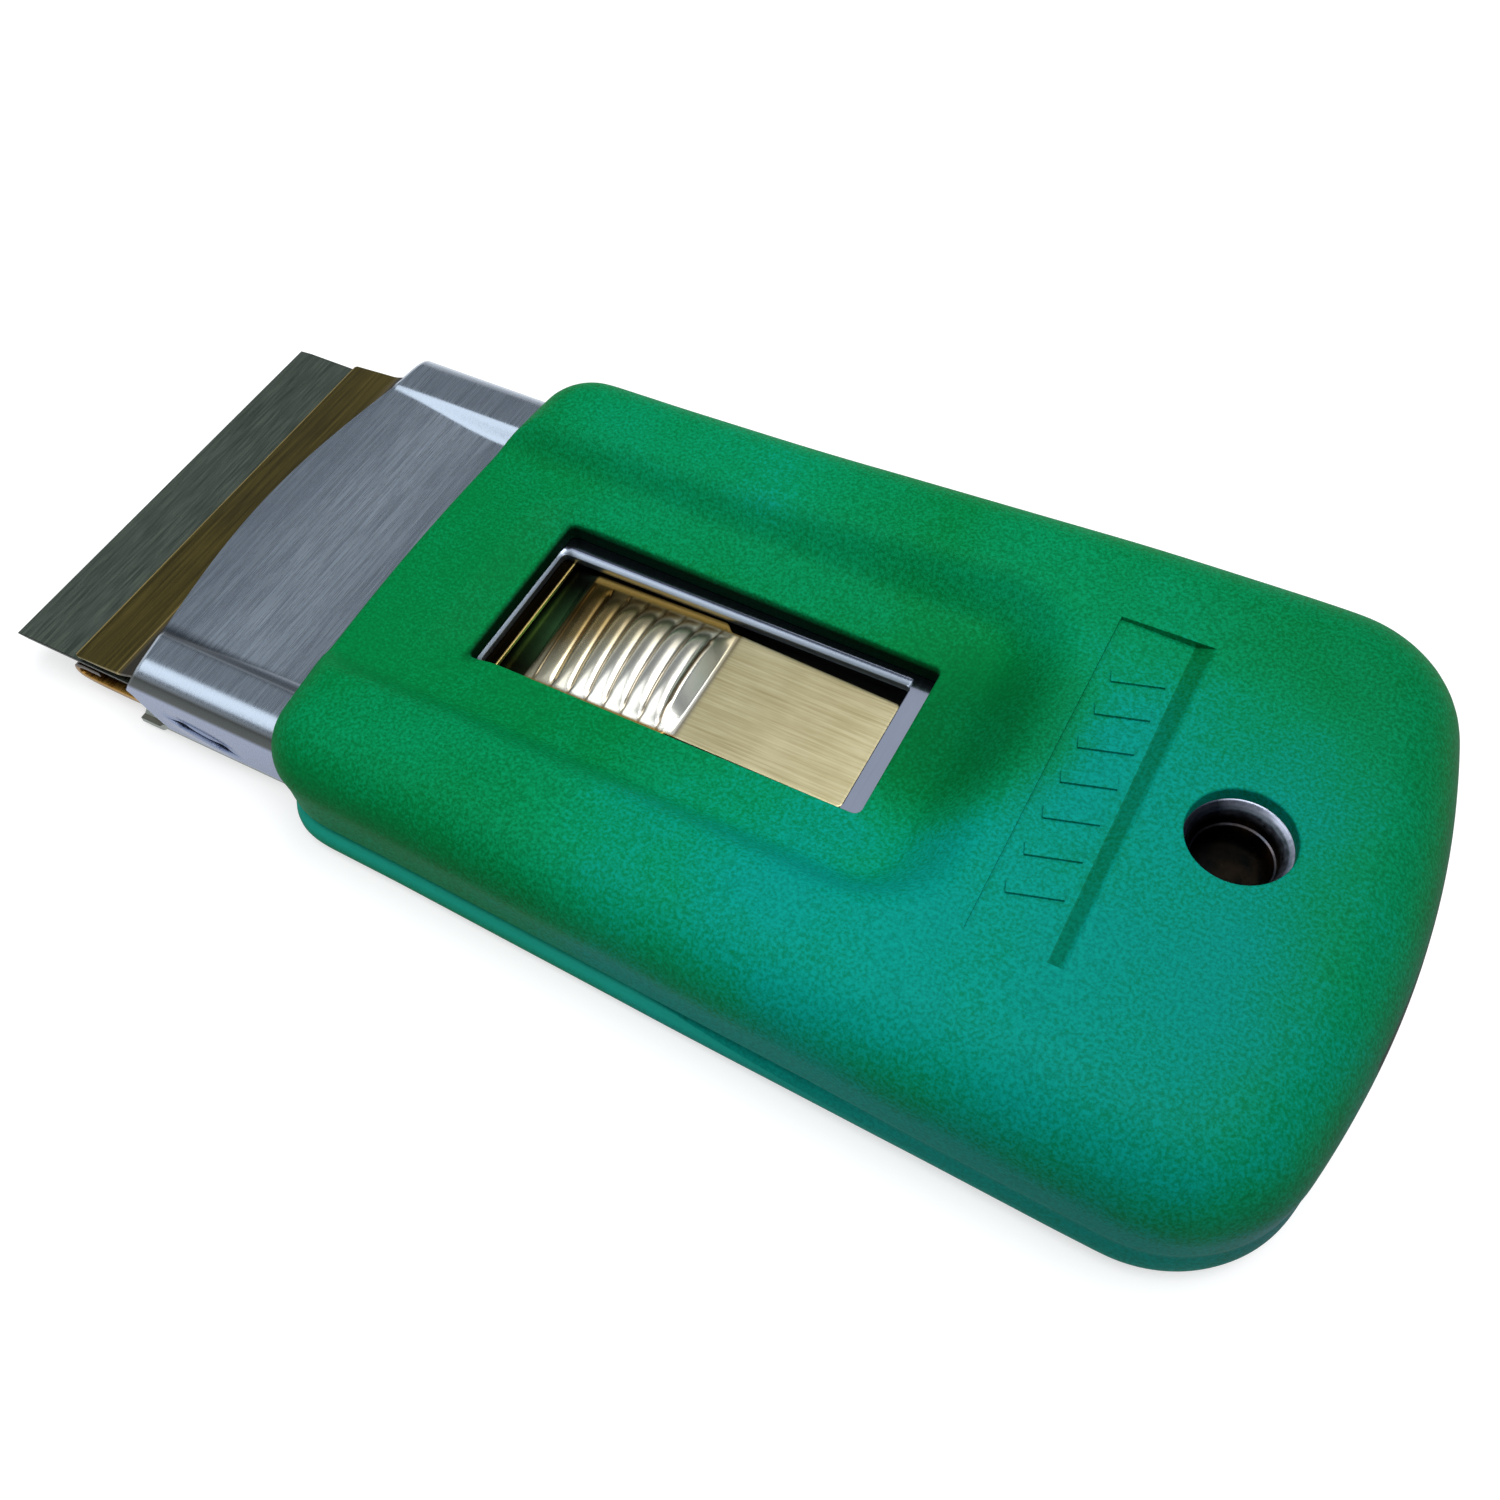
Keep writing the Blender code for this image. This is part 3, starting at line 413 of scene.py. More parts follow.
def eyelet_shape(u, v):
    """Turn the closed outline of the tube's wall about the hole's axis."""
    outline = np.array([
        (2.76, 0.75), (3.1, 0.6), (4.2, 0.6), (4.5, 0.68), (4.2, 0.78), (3.55, 0.85),
        (3.3, 1.1), (3.3, 10.4), (3.36, 11.2), (3.5, 11.7), (3.8, 12.05), (3.88, 12.25),
        (3.78, 12.33), (3.58, 12.24), (3.36, 12.02), (3.16, 11.7), (3.02, 11.3), (2.94, 10.8),
        (2.92, 10.5), (2.76, 10.38), (2.76, 0.75)])
    share = np.linspace(0, 1, len(outline))
    radius = np.interp(v, share, outline[:, 0])
    level = np.interp(v, share, outline[:, 1])
    angle = 2 * math.pi * u
    return HOLE[0] + radius * np.cos(angle), HOLE[1] + radius * np.sin(angle), level


eyelet = blank("hang_eyelet_turned", 96, 80)
press(eyelet, eyelet_shape)
edit(eyelet,
     (bpy.ops.mesh.remove_doubles, {"threshold": 0.000002}),
     (bpy.ops.mesh.normals_make_consistent, {"inside": False}))
smooth(eyelet, 60)
# Nickel plate over brass, with faint rings from turning. The flare is painted dark grey all round
# but for a bright crescent on the far right, a painted highlight. The bore is painted blackish,
# as painted shade, with patches of brown tarnish.
nickel, tree, shader, where = brushed_metal("nickel_plate_tarnished", "#a4abc0", "#d3d8ea", 0.34,
                                            0.35, 0.35, 2)
apart = add_node(tree, "SeparateXYZ", {}, {"Vector": where})
# Painted shade in the bore, with brown tarnish in patches.
deep = add_node(tree, "MapRange", {"From Min": 0.0116, "From Max": 0.0110},
                {"Value": apart.outputs["Z"]})
cloud = add_node(tree, "TexNoise", {"Scale": 1000 / 2.5, "Detail": 3.0}, {"Vector": where})
bore_shade_and_tarnish = add_node(tree, "ValToRGB", {"stops": [(0.4, "#191b22"), (0.7, "#7a5c45")]},
                {"Fac": cloud.outputs["Fac"]})
# The step below the flare gets less of the painted shade than the bore.
ledge = add_node(tree, "Math", {"operation": "COMPARE", 1: 0.01044, 2: 0.00008},
                 {0: apart.outputs["Z"]})
bore_shade = add_node(tree, "Math", {"operation": "MULTIPLY_ADD", 1: -0.25},
                  {0: ledge.outputs[0], 2: deep.outputs[0]})
dark = add_node(tree, "Mix", {"data_type": "RGBA"},
                {0: bore_shade.outputs[0], 6: shader.inputs["Base Color"].links[0].from_socket,
                 7: bore_shade_and_tarnish.outputs["Color"]})
# Painted highlight: all but a crescent on the far right is darkened.
aim = add_node(tree, "VectorMath", {"operation": "DOT_PRODUCT", 1: (0.8, 0.6, 0.0)}, {0: where})
crescent_mask = add_node(tree, "MapRange", {"From Min": 0.0322, "From Max": 0.0352, "To Min": 1.0,
                                     "To Max": 0.0}, {"Value": aim.outputs["Value"]})
crescent_mix = add_node(tree, "Mix", {**DARKEN, 7: srgb("#3c3d42")},
                {0: crescent_mask.outputs[0], 6: dark.outputs[2]})
tree.links.new(crescent_mix.outputs[2], shader.inputs["Base Color"])
coat(eyelet, nickel)
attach(eyelet, "handle")
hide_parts("hang_eyelet")


# Grip: a boot of soft rubber, moulded in two halves and stretched over the shell. Its top is
# dished for the thumb round the window, and a sunk field with plain bars lies behind.
WINDOW_MIDDLE = 54.2
GRIP_LEVELS = ((27, 11.9), (40, 12.0), (53, 12.1), (61, 12.45), (73, 12.95), (81, 13.3),
               (94, 13.5), (109, 13.5))


def land(x):
    """Height of the grip's flat top."""
    total = 0
    for shift in (-4, -2, 0, 2, 4):
        total = total + np.interp(x + shift, *zip(*GRIP_LEVELS))
    return total / 5


def round_over(x):
    """Radius of the round along the grip's top edge."""
    return np.interp(x, (28, 60, 100), (4.2, 5.0, 6.8))


def thumb_dish(x, y):
    """Height of the dish: a floor that sinks to the window, then a slope all round but in front."""
    out_x = x - (74.3 - 2.7)
    out_y = np.abs(y) - (12.1 - 2.7)
    outside = np.hypot(np.clip(out_x, 0, None), np.clip(out_y, 0, None))
    outside = outside + np.minimum(np.maximum(out_x, out_y), 0) - 2.7
    behind = np.clip(out_x, 0, None) ** 2
    beside = np.clip(out_y, 0, None) ** 2
    slope = 1.08 - 0.24 * behind / (behind + beside + 0.01)
    rim_x = np.abs(x - WINDOW_MIDDLE) - 16.1
    rim_y = np.abs(y) - 7.1
    rim = np.hypot(np.clip(rim_x, 0, None), np.clip(rim_y, 0, None))
    ahead = ease((40.5 - x) / 3.5) * ease((9.5 - np.abs(y)) / 3.5) * ease((x - 33.5) / 3.5)
    floor = 9.05 + 0.4 * ease(rim / 4.5) - 0.7 * ahead
    return floor + slope * (outside + np.sqrt(outside ** 2 + 0.5)) / 2


def soft_least(a, b, width):
    """The lesser of two heights, rounded over where they meet."""
    near = np.clip(width - np.abs(a - b), 0, None) / width
    return np.minimum(a, b) - near ** 2 * width / 4


def grip_top(x, y):
    """Height of the top between the window and the round."""
    return soft_least(land(x), thumb_dish(x, y), 1.0)


def grip_loop(share):
    """The grip in plan, all round: its outline at share 0, the top edge of its round at 1."""
    corner = 5.0 - 3.6 * share
    butt = 10.0 - 6.8 * share
    front = 28.1 + 4.2 * share + corner
    side = 22.9 - 4.2 * share - corner
    y = np.linspace(0, 1, 53)[:-1]
    half = [np.stack([front - corner - 0.85 * (1 - y ** 2), side * y], axis=1)]
    a = np.radians(np.linspace(180, 90, 21)[:-1])
    half.append(np.stack([front + corner * np.cos(a), side + corner * np.sin(a)], axis=1))
    x = np.linspace(front, 96.4, 131)[:-1]
    flank = np.interp(x, (31, 40, 60, 80, 93, 97), (22.9, 23.15, 24.0, 25.0, 25.5, 25.6))
    half.append(np.stack([x, flank - share * round_over(x)], axis=1))
    a = np.radians(np.linspace(90, 11, 35)[:-1])
    half.append(np.stack([96.4 + butt * np.cos(a), 15.6 + butt * np.sin(a)], axis=1))
    end = 108.2 - 6.8 * share
    drop = end - 96.4 - butt * math.cos(math.radians(11))
    y = np.linspace(1, 0, 45)
    last = 15.6 + butt * math.sin(math.radians(11))
    half.append(np.stack([end - drop * y ** 2, last * y], axis=1))
    half = np.concatenate(half)
    loop = np.concatenate([half, (half * (1, -1))[-2:0:-1]])
    return sum(np.roll(loop, shift, axis=0) for shift in (-2, -1, 0, 1, 2)) / 5


def window_rim(towards, grow):
    """Where the line from the window's middle to each point crosses the window's edge."""
    rim = np.array(rounded_corners(37.4 - grow, 70.4 + grow, 7.1 + grow, 0.6 + grow, 0, 20))
    # The far edge runs slightly askew, further out in front.
    rim[:, 1] += (rim[:, 1] > 0) * (0.15 + 0.7 * (70.4 - rim[:, 0]) / 33)
    rim = np.vstack([rim, rim[:1]])[:, :2] - (WINDOW_MIDDLE, 0)
    rim = np.concatenate([np.linspace(a, b, 60)[:-1] for a, b in zip(rim, rim[1:])])
    bearing = np.arctan2(rim[:, 1], rim[:, 0])
    order = np.argsort(bearing)
    reach = np.hypot(rim[:, 0], rim[:, 1])[order]
    aim = towards - (WINDOW_MIDDLE, 0)
    wanted = np.arctan2(aim[:, 1], aim[:, 0])
    radius = np.interp(wanted, bearing[order], reach, period=2 * math.pi)
    return np.stack([WINDOW_MIDDLE + radius * np.cos(wanted), radius * np.sin(wanted)], axis=1)


outline = grip_loop(0)
inner = grip_loop(1)
rounding = round_over(outline[:, 0])
RAYS = len(outline)
outward = np.roll(outline, 1, axis=0) - np.roll(outline, -1, axis=0)
outward = np.stack([outward[:, 1], -outward[:, 0]], axis=1)
outward /= np.linalg.norm(outward, axis=1)[:, None]
rings = []
for level in (6.6, 7.4, 7.8):
    rim = window_rim(inner, 0)
    rings.append(np.column_stack([rim, np.full(RAYS, level)]))
for turn in np.radians((0, 25, 50, 70)):
    rim = window_rim(inner, 0.22 * (1 - math.cos(turn)))
    rings.append(np.column_stack([rim, grip_top(*rim.T) - 0.22 * (1 - math.sin(turn))]))
start = window_rim(inner, 0.22)
for share in np.linspace(0, 1, 97):
    place = start + (inner - start) * share
    rings.append(np.column_stack([place, grip_top(*place.T)]))
for turn in np.radians(np.linspace(6, 90, 15)):
    place = inner + (outline - inner) * math.sin(turn)
    height = land(place[:, 0]) - rounding * (1 - math.cos(turn))
    height = soft_least(height, thumb_dish(*place.T), 1.0)
    rings.append(np.column_stack([place, height]))
# The halves meet in a groove: the upper one is drawn in a little to it, and the lower one has a
# rounded lip that stands out below. Both fade towards the butt.
fade = 1 - 0.85 * ease((outline[:, 0] - 60) / 25)
seam = [(5.9, -0.25), (4.6, -0.32), (3.6, -0.4), (3.1, -0.5), (2.8, -0.75), (2.6, -1.15),
        (2.4, -1.15)]
for turn in np.radians(np.linspace(0, 84, 7)):
    seam.append((1.2 + 1.15 * math.cos(turn), -0.95 * (1 - math.sin(turn))))
for (level, step), plain in zip(seam, np.linspace(5.9, 2.4, len(seam))):
    place = outline + outward * step * fade[:, None]
    rings.append(np.column_stack([place, plain + (level - plain) * fade]))
foot = 2.3 - 1.1 * fade
for turn in np.radians(np.linspace(6, 90, 7)):
    place = outline - outward * (foot * (1 - math.cos(turn)))[:, None]
    rings.append(np.column_stack([place, foot * (1 - math.sin(turn))]))
rings = np.array(rings)


def grip_shape(u, v):
    """Wrap the blank round the window: u runs round the grip, v from the window outwards."""
    column = np.rint(u * RAYS).astype(int) % RAYS
    row = np.rint(v * (len(rings) - 1)).astype(int)
    return rings[row, column].T


grip = blank("rubber_grip", RAYS, len(rings) - 1)
press(grip, grip_shape)
edit(grip,
     (bpy.ops.mesh.remove_doubles, {"threshold": 0.000002}),
     (bpy.ops.mesh.fill_holes, {"sides": 0}),
     (bpy.ops.mesh.select_all, {"action": "SELECT"}),
     (bpy.ops.mesh.normals_make_consistent, {"inside": False}))

# The room for the shell follows the shell's own section, a hair wider.
ROOM_FRONT = 24.0
ROOM_FLOOR = 0.84
FIT = 0.06
room = []
for y in np.linspace(-1, 1, 121) * (SHELL_HALF - RAIL_ROUND):
    room.append((ROOM_FRONT, y, RAIL_TOP + FIT - float(panel_sink(np.array(60.0), np.array(y)))))
for angle in np.radians(np.linspace(80, 0, 9)):
    room.append((ROOM_FRONT, SHELL_HALF - RAIL_ROUND + (RAIL_ROUND + FIT) * math.cos(angle),
                 RAIL_TOP - RAIL_ROUND + (RAIL_ROUND + FIT) * math.sin(angle)))
room += [(ROOM_FRONT, SHELL_HALF + FIT, ROOM_FLOOR), (ROOM_FRONT, -SHELL_HALF - FIT, ROOM_FLOOR)]
for angle in np.radians(np.linspace(180, 100, 9)):
    room.append((ROOM_FRONT, RAIL_ROUND - SHELL_HALF + (RAIL_ROUND + FIT) * math.cos(angle),
                 RAIL_TOP - RAIL_ROUND + (RAIL_ROUND + FIT) * math.sin(angle)))
room = [(x, y + float(far_bulge(y)), z) for x, y, z in room]
cut_away(grip, prism("shell_room", room, (77.4, 0, 0)))


def turned(name, profile, x, y, steps=96):
    """A round solid: discs of these radii, in mm, at these levels, in mm."""
    deselect()
    first, low = profile[0]
    bpy.ops.mesh.primitive_circle_add(vertices=steps, radius=first * MM, fill_type="NGON",
                                      location=((x - EDGE_TO_MIDDLE) * MM, y * MM, low * MM))
    piece = bpy.context.object
    piece.name = name
    bpy.ops.object.transform_apply(location=True)
    bpy.ops.object.mode_set(mode="EDIT")
    bpy.ops.mesh.select_all(action="SELECT")
    for (before, under_boot_shade), (radius, level) in zip(profile, profile[1:]):
        bpy.ops.mesh.extrude_region_move(
            TRANSFORM_OT_translate={"value": (0, 0, (level - under_boot_shade) * MM)})
        grow = radius / before
        bpy.ops.transform.resize(value=(grow, grow, 1),
                                 center_override=((x - EDGE_TO_MIDDLE) * MM, y * MM, level * MM))
    bpy.ops.mesh.select_all(action="SELECT")
    bpy.ops.mesh.normals_make_consistent(inside=False)
    bpy.ops.object.mode_set(mode="OBJECT")
    return piece


hole_top = float(land(np.array(HOLE[0])))
flare = [(3.66, -1), (3.66, 11.6), (3.68, 12.5)]
for turn in np.radians(np.linspace(0, 78, 7)):
    flare.append((3.7 + 0.2 * (1 - math.cos(turn)), hole_top - 0.2 + 0.2 * math.sin(turn)))
flare.append((4.3, hole_top + 0.15))
cut_away(grip, turned("hole_punch", flare, *HOLE))
cut_away(grip, turned("flange_punch", [(4.9, -1), (4.9, 0.84)], *HOLE))


def field_floor(x, y):
    """Level of the sunk field behind the dish, deeper to the back and the far side."""
    return 13.1 - 0.2 * (x - 81.1) / 6.7 - 0.16 * (y + 14.3) / 28.6


# The field is sunk as the mould's insert left it, its back wall sloped, with seven plain
# leaning bars standing in it.
FIELD = ((81.1, -14.3), (86.8, -14.3), (86.8, 14.3), (81.1, 14.3))
field = prism("field_punch", [(x, y, field_floor(x, y)) for x, y in FIELD], (0, 0, 2))
reshape(field, lambda x, y, z: (x + np.where((x > 85) & (z > 14.5), 4.6, 0), y, z))
for index in range(-3, 4):
    bar = []
    for along, aside in ((-1.9, -0.5), (1.9, -0.5), (1.9, 0.5), (-1.9, 0.5)):
        x = 84.1 + along * math.cos(math.radians(18)) - aside * math.sin(math.radians(18))
        y = index * 3.2 + along * math.sin(math.radians(18)) + aside * math.cos(math.radians(18))
        bar.append((x, y, field_floor(x, y) - 1))
    cut_away(field, prism("bar_mould", bar, (0, 0, 1.2)))
cut_away(grip, field)
smooth(grip, 19)

# Soft rubber from a sand-blasted mould: a full green, nearly matt. Its hue carries painted light:
# a bluish painted sheen towards the near butt and the far front, painted bounce light from the
# floor that turns the sides bluer, and less sheen, so greener, in the hollows and at the back of
# the dish. Its grain is drawn 0.25 mm wide so that it shows. Painted shade darkens the window's
# walls.
rubber, tree, shader, where = new_material("moulded_rubber_green")
grain = add_node(tree, "TexNoise", {"Scale": 1000 / 0.25, "Detail": 3.0, "Roughness": 0.6},
                 {"Vector": where})
cloud = add_node(tree, "TexNoise", {"Scale": 1000 / 9, "Detail": 3.0}, {"Vector": where})
apart = add_node(tree, "SeparateXYZ", {}, {"Vector": where})
# Painted sheen by distance from three places: bluer round the first two, greener round the third.
tinge = add_node(tree, "MapRange", {"From Min": 0.0118, "From Max": 0.0098, "To Min": 0.0,
                                    "To Max": -0.15}, {"Value": apart.outputs["Z"]})
for place, inside, outside, most, least in (((0.028, -0.014, 0.012), 0.010, 0.042, 0.08, -0.55),
                                            ((-0.008, 0.014, 0.011), 0.006, 0.020, 0.25, 0.0),
                                            ((0.0195, 0.002, 0.0105), 0.005, 0.012, -0.5, 0.0)):
    away = add_node(tree, "VectorMath", {"operation": "DISTANCE", 1: place}, {0: where})
    part = add_node(tree, "MapRange", {"interpolation_type": "SMOOTHSTEP", "From Min": inside,
                                       "From Max": outside, "To Min": most, "To Max": least},
                    {"Value": away.outputs["Value"]})
    tinge = add_node(tree, "Math", {}, {0: tinge.outputs[0], 1: part.outputs[0]})
# Painted bounce light: the sides are bluer low down.
skirt = add_node(tree, "MapRange", {"From Min": 0.0085, "From Max": 0.0060, "To Max": 0.35},
                 {"Value": apart.outputs["Z"]})
hue = add_node(tree, "Math", {}, {0: tinge.outputs[0], 1: skirt.outputs[0]})
hue = add_node(tree, "Math", {"operation": "MULTIPLY_ADD", 1: 0.6},
               {0: cloud.outputs["Fac"], 2: hue.outputs[0]})
hue = add_node(tree, "Math", {"operation": "MULTIPLY_ADD", 1: 0.9},
               {0: grain.outputs["Fac"], 2: hue.outputs[0]})
green = add_node(tree, "ValToRGB", {"stops": [(0.1, "#017a3c"), (0.5, "#038a58"),
                                              (0.85, "#059082")]}, {"Fac": hue.outputs[0]})
shade = add_node(tree, "ValToRGB", {"stops": [(0.38, 0.72), (0.62, 1.0)]},
                 {"Fac": grain.outputs["Fac"]})
first = add_node(tree, "Mix", {**DARKEN, 0: 1.0},
                 {6: green.outputs["Color"], 7: shade.outputs["Color"]})
# Painted shade: the walls of the window's pocket are darkened.
low = add_node(tree, "MapRange", {"From Min": 0.0089, "From Max": 0.0083},
               {"Value": apart.outputs["Z"]})
aside = add_node(tree, "Math", {"operation": "ABSOLUTE"}, {0: apart.outputs["Y"]})
inside = add_node(tree, "MapRange", {"From Min": 0.0093, "From Max": 0.0090},
                  {"Value": aside.outputs[0]})
window_wall_shade = add_node(tree, "Math", {"operation": "MULTIPLY"},
                  {0: low.outputs[0], 1: inside.outputs[0]})
past = add_node(tree, "MapRange", {"From Min": -0.0172, "From Max": -0.0168},
                {"Value": apart.outputs["X"]})
window_wall_shade = add_node(tree, "Math", {"operation": "MULTIPLY"},
                  {0: window_wall_shade.outputs[0], 1: past.outputs[0]})
second = add_node(tree, "Mix", {**DARKEN, 7: srgb("#444c50")},
                  {0: window_wall_shade.outputs[0], 6: first.outputs[2]})
# The lip along the foot is painted paler, as painted light, less so towards the butt.
rise = add_node(tree, "MapRange", {"From Min": 0.0009, "From Max": 0.0020},
                {"Value": apart.outputs["Z"]})
crest = add_node(tree, "MapRange", {"From Min": 0.00240, "From Max": 0.00232},
                 {"Value": apart.outputs["Z"]})
ahead = add_node(tree, "MapRange", {"From Min": 0.006, "From Max": 0.031, "To Min": 0.8,
                                    "To Max": 0.1}, {"Value": apart.outputs["X"]})
lip = add_node(tree, "Math", {"operation": "MULTIPLY"}, {0: rise.outputs[0], 1: crest.outputs[0]})
lip = add_node(tree, "Math", {"operation": "MULTIPLY"}, {0: lip.outputs[0], 1: ahead.outputs[0]})
second = add_node(tree, "Mix", {"data_type": "RGBA", 7: srgb("#28b09c")},
                  {0: lip.outputs[0], 6: second.outputs[2]})
# Painted shade darkens the back wall of the sunk field.
field_wall_shade = add_node(tree, "MapRange", {"From Min": 0.01338, "From Max": 0.01325},
                {"Value": apart.outputs["Z"]})
wall = add_node(tree, "Math", {"operation": "COMPARE", 1: 0.0337, 2: 0.0011},
                {0: apart.outputs["X"]})
across = add_node(tree, "MapRange", {"From Min": 0.0147, "From Max": 0.0144},
                  {"Value": aside.outputs[0]})
field_wall_shade = add_node(tree, "Math", {"operation": "MULTIPLY"}, {0: field_wall_shade.outputs[0], 1: wall.outputs[0]})
field_wall_shade = add_node(tree, "Math", {"operation": "MULTIPLY"},
                {0: field_wall_shade.outputs[0], 1: across.outputs[0]})
second = add_node(tree, "Mix", {**DARKEN, 7: srgb("#d3d3bc")},
                  {0: field_wall_shade.outputs[0], 6: second.outputs[2]})
# Painted shade: the butt is darker and bluer low down.
behind = add_node(tree, "MapRange", {"From Min": 0.0475, "From Max": 0.0535},
                  {"Value": apart.outputs["X"]})
below = add_node(tree, "MapRange", {"From Min": 0.0115, "From Max": 0.007},
                 {"Value": apart.outputs["Z"]})
end = add_node(tree, "Math", {"operation": "MULTIPLY"},
               {0: behind.outputs[0], 1: below.outputs[0]})
third = add_node(tree, "Mix", {**DARKEN, 7: srgb("#80a8e0")},
                 {0: end.outputs[0], 6: second.outputs[2]})
# Painted shade: darker towards the butt, and darkest on the back slope of the dish.
butt_shade = add_node(tree, "MapRange", {"From Min": 0.022, "From Max": 0.050, "To Min": 1.0,
                                        "To Max": 0.8}, {"Value": apart.outputs["X"]})
slope = add_node(tree, "VectorMath", {"operation": "DISTANCE", 1: (0.0205, 0.002, 0.0115)},
                 {0: where})
shaded = add_node(tree, "MapRange", {"interpolation_type": "SMOOTHSTEP", "From Min": 0.003,
                                     "From Max": 0.011, "To Min": 0.7, "To Max": 1.0},
                  {"Value": slope.outputs["Value"]})
painted_shade_factor = add_node(tree, "Math", {"operation": "MULTIPLY"},
                {0: butt_shade.outputs[0], 1: shaded.outputs[0]})
third = add_node(tree, "Mix", {**DARKEN, 0: 1.0},
                 {6: third.outputs[2], 7: painted_shade_factor.outputs[0]})
relief = add_node(tree, "Bump", {"Strength": 0.35, "Distance": 0.00005},
                  {"Height": grain.outputs["Fac"]})
tree.links.new(third.outputs[2], shader.inputs["Base Color"])
tree.links.new(relief.outputs[0], shader.inputs["Normal"])
shader.inputs["Roughness"].default_value = 0.55
shader.inputs["IOR"].default_value = 1.45
shader.inputs["Specular IOR Level"].default_value = 0.03
coat(grip, rubber)
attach(grip, "handle")
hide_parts("grip_sleeve")


# Carrier: a brass-plated strip whose front edge is folded back in an open hem under the blade.
# Behind the blade it turns up as a stop and runs on as the shelf for the rivets.
CARRIER_PATH = ((8.6, 3.35), (6.7, 3.38), (6.1, 3.25), (5.8, 2.85), (5.75, 2.4), (6.0, 2.1),
                (6.9, 1.88), (8.1, 1.78), (10.9, 1.74), (12.2, 1.8), (13.4, 2.0), (19.0, 2.0),
                (19.7, 2.3), (19.87, 4.1), (20.2, 4.5), (32.8, 4.5))
CARRIER_WIDTH = 38.1
RIVETS_BEHIND = 29.2
RIVET_ASIDE = 3.2
RIVET_RADIUS = 1.2


def carrier_shape(u, v):
    """Fold the strip along its path, each corner eased over a third of a millimetre."""
    path = np.array(CARRIER_PATH)
    run = np.concatenate([[0], np.cumsum(np.hypot(*np.diff(path, axis=0).T))])
    x, z = 0, 0
    for shift in (-0.3, -0.15, 0, 0.15, 0.3):
        place = np.clip(u * run[-1] + shift, 0, run[-1])
        x = x + np.interp(place, run, path[:, 0]) / 5
        z = z + np.interp(place, run, path[:, 1]) / 5
    return x, CARRIER_WIDTH * (v - 0.5), z


carrier = blank("carrier_folded", 240, 12)
press(carrier, carrier_shape)
apply_modifier(carrier, "SOLIDIFY", thickness=0.5 * MM, offset=0.0)


def punch_rivet_holes(piece, low, high):
    """Punch the holes for the two rivets, between two levels in mm."""
    for side in (-1, 1):
        cut_away(piece, turned("rivet_punch", [(RIVET_RADIUS, low), (RIVET_RADIUS, high)],
                               RIVETS_BEHIND, side * RIVET_ASIDE, 32))


punch_rivet_holes(carrier, 4, 5)
break_edges(carrier, 0.05, 50)
smooth(carrier, 40)
# Brass plate, painted bright on the face of the fold, as painted light, and painted dark brown inside
# the hem and underneath, as painted shade.
brass, tree, shader, where = brushed_metal("brass_plate_fold_shaded", "#94805a", "#c9b48a", 0.3, 0.2,
                                           5, 1)
apart = add_node(tree, "SeparateXYZ", {}, {"Vector": where})
level = add_node(tree, "MapRange", {"From Min": 0.001, "From Max": 0.004},
                 {"Value": apart.outputs["Z"]})
fold_light_and_shade = add_node(tree, "ValToRGB", {"stops": [(0.1, "#4a3a20"), (0.3, "#e0c080"),
                                                (0.6, "#d0b070"), (0.72, "#3a3020")]},
                   {"Fac": level.outputs[0]})
fold_lit_and_shaded = add_node(tree, "Mix", {**DARKEN, 0: 1.0},
                {6: shader.inputs["Base Color"].links[0].from_socket, 7: fold_light_and_shade.outputs["Color"]})
tree.links.new(fold_lit_and_shaded.outputs[2], shader.inputs["Base Color"])
coat(carrier, brass)
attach(carrier, "carrier")
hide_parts("carrier_base")


# Clamp plate: the upper jaw, whose lip lies on the blade. It is bent up behind the lip to run
# close under the shell, and is riveted to the carrier out of sight.
CLAMP_SHEET = 0.3
CLAMP_FRONT = 6.55
CLAMP_END = 38.55


def clamp_shape(u, v):
    """Bend the strip: lip, ramp and flat. The lip's two corners are rounded off."""
    y = CARRIER_WIDTH / 2 * np.interp(v, (0, 0.25, 0.75, 1), (-1, -0.98, 0.98, 1))
    into = np.clip(np.abs(y) - 18.75, 0, 0.3)
    corner = 0.3 - np.sqrt(np.clip(0.09 - into ** 2, 0, None))
    x = CLAMP_FRONT + (CLAMP_END - CLAMP_FRONT) * u
    level = 0
    for shift in (-0.3, -0.15, 0, 0.15, 0.3):
        level = level + np.interp(x + shift, (CLAMP_FRONT, 11.2, 14.0, 39.3),
                                  (4.82, 5.2, 6.25, 6.25))
    return x + corner * np.clip(1 - (x - CLAMP_FRONT) / 3, 0, 1), y, level / 5


clamp = blank("clamp_plate_bent", 200, 28)
press(clamp, clamp_shape)
apply_modifier(clamp, "SOLIDIFY", thickness=CLAMP_SHEET * MM, offset=-1.0)
punch_rivet_holes(clamp, 5, 7)
break_edges(clamp, 0.05, 50)
smooth(clamp, 40)
# Brass plate gone dark with oil and age: an olive brown, satin, with faint lines across. Thin
# bright lines on the front edge, the near part of the rear bend and the rear end are painted
# highlights, and behind the lip the plate is painted darker, most under the window, as painted
# shade.
bronze, tree, shader, where = brushed_metal("brass_plate_darkened", "#51492a", "#746632", 0.38,
                                            0.25, 8, 1)
apart = add_node(tree, "SeparateXYZ", {}, {"Vector": where})
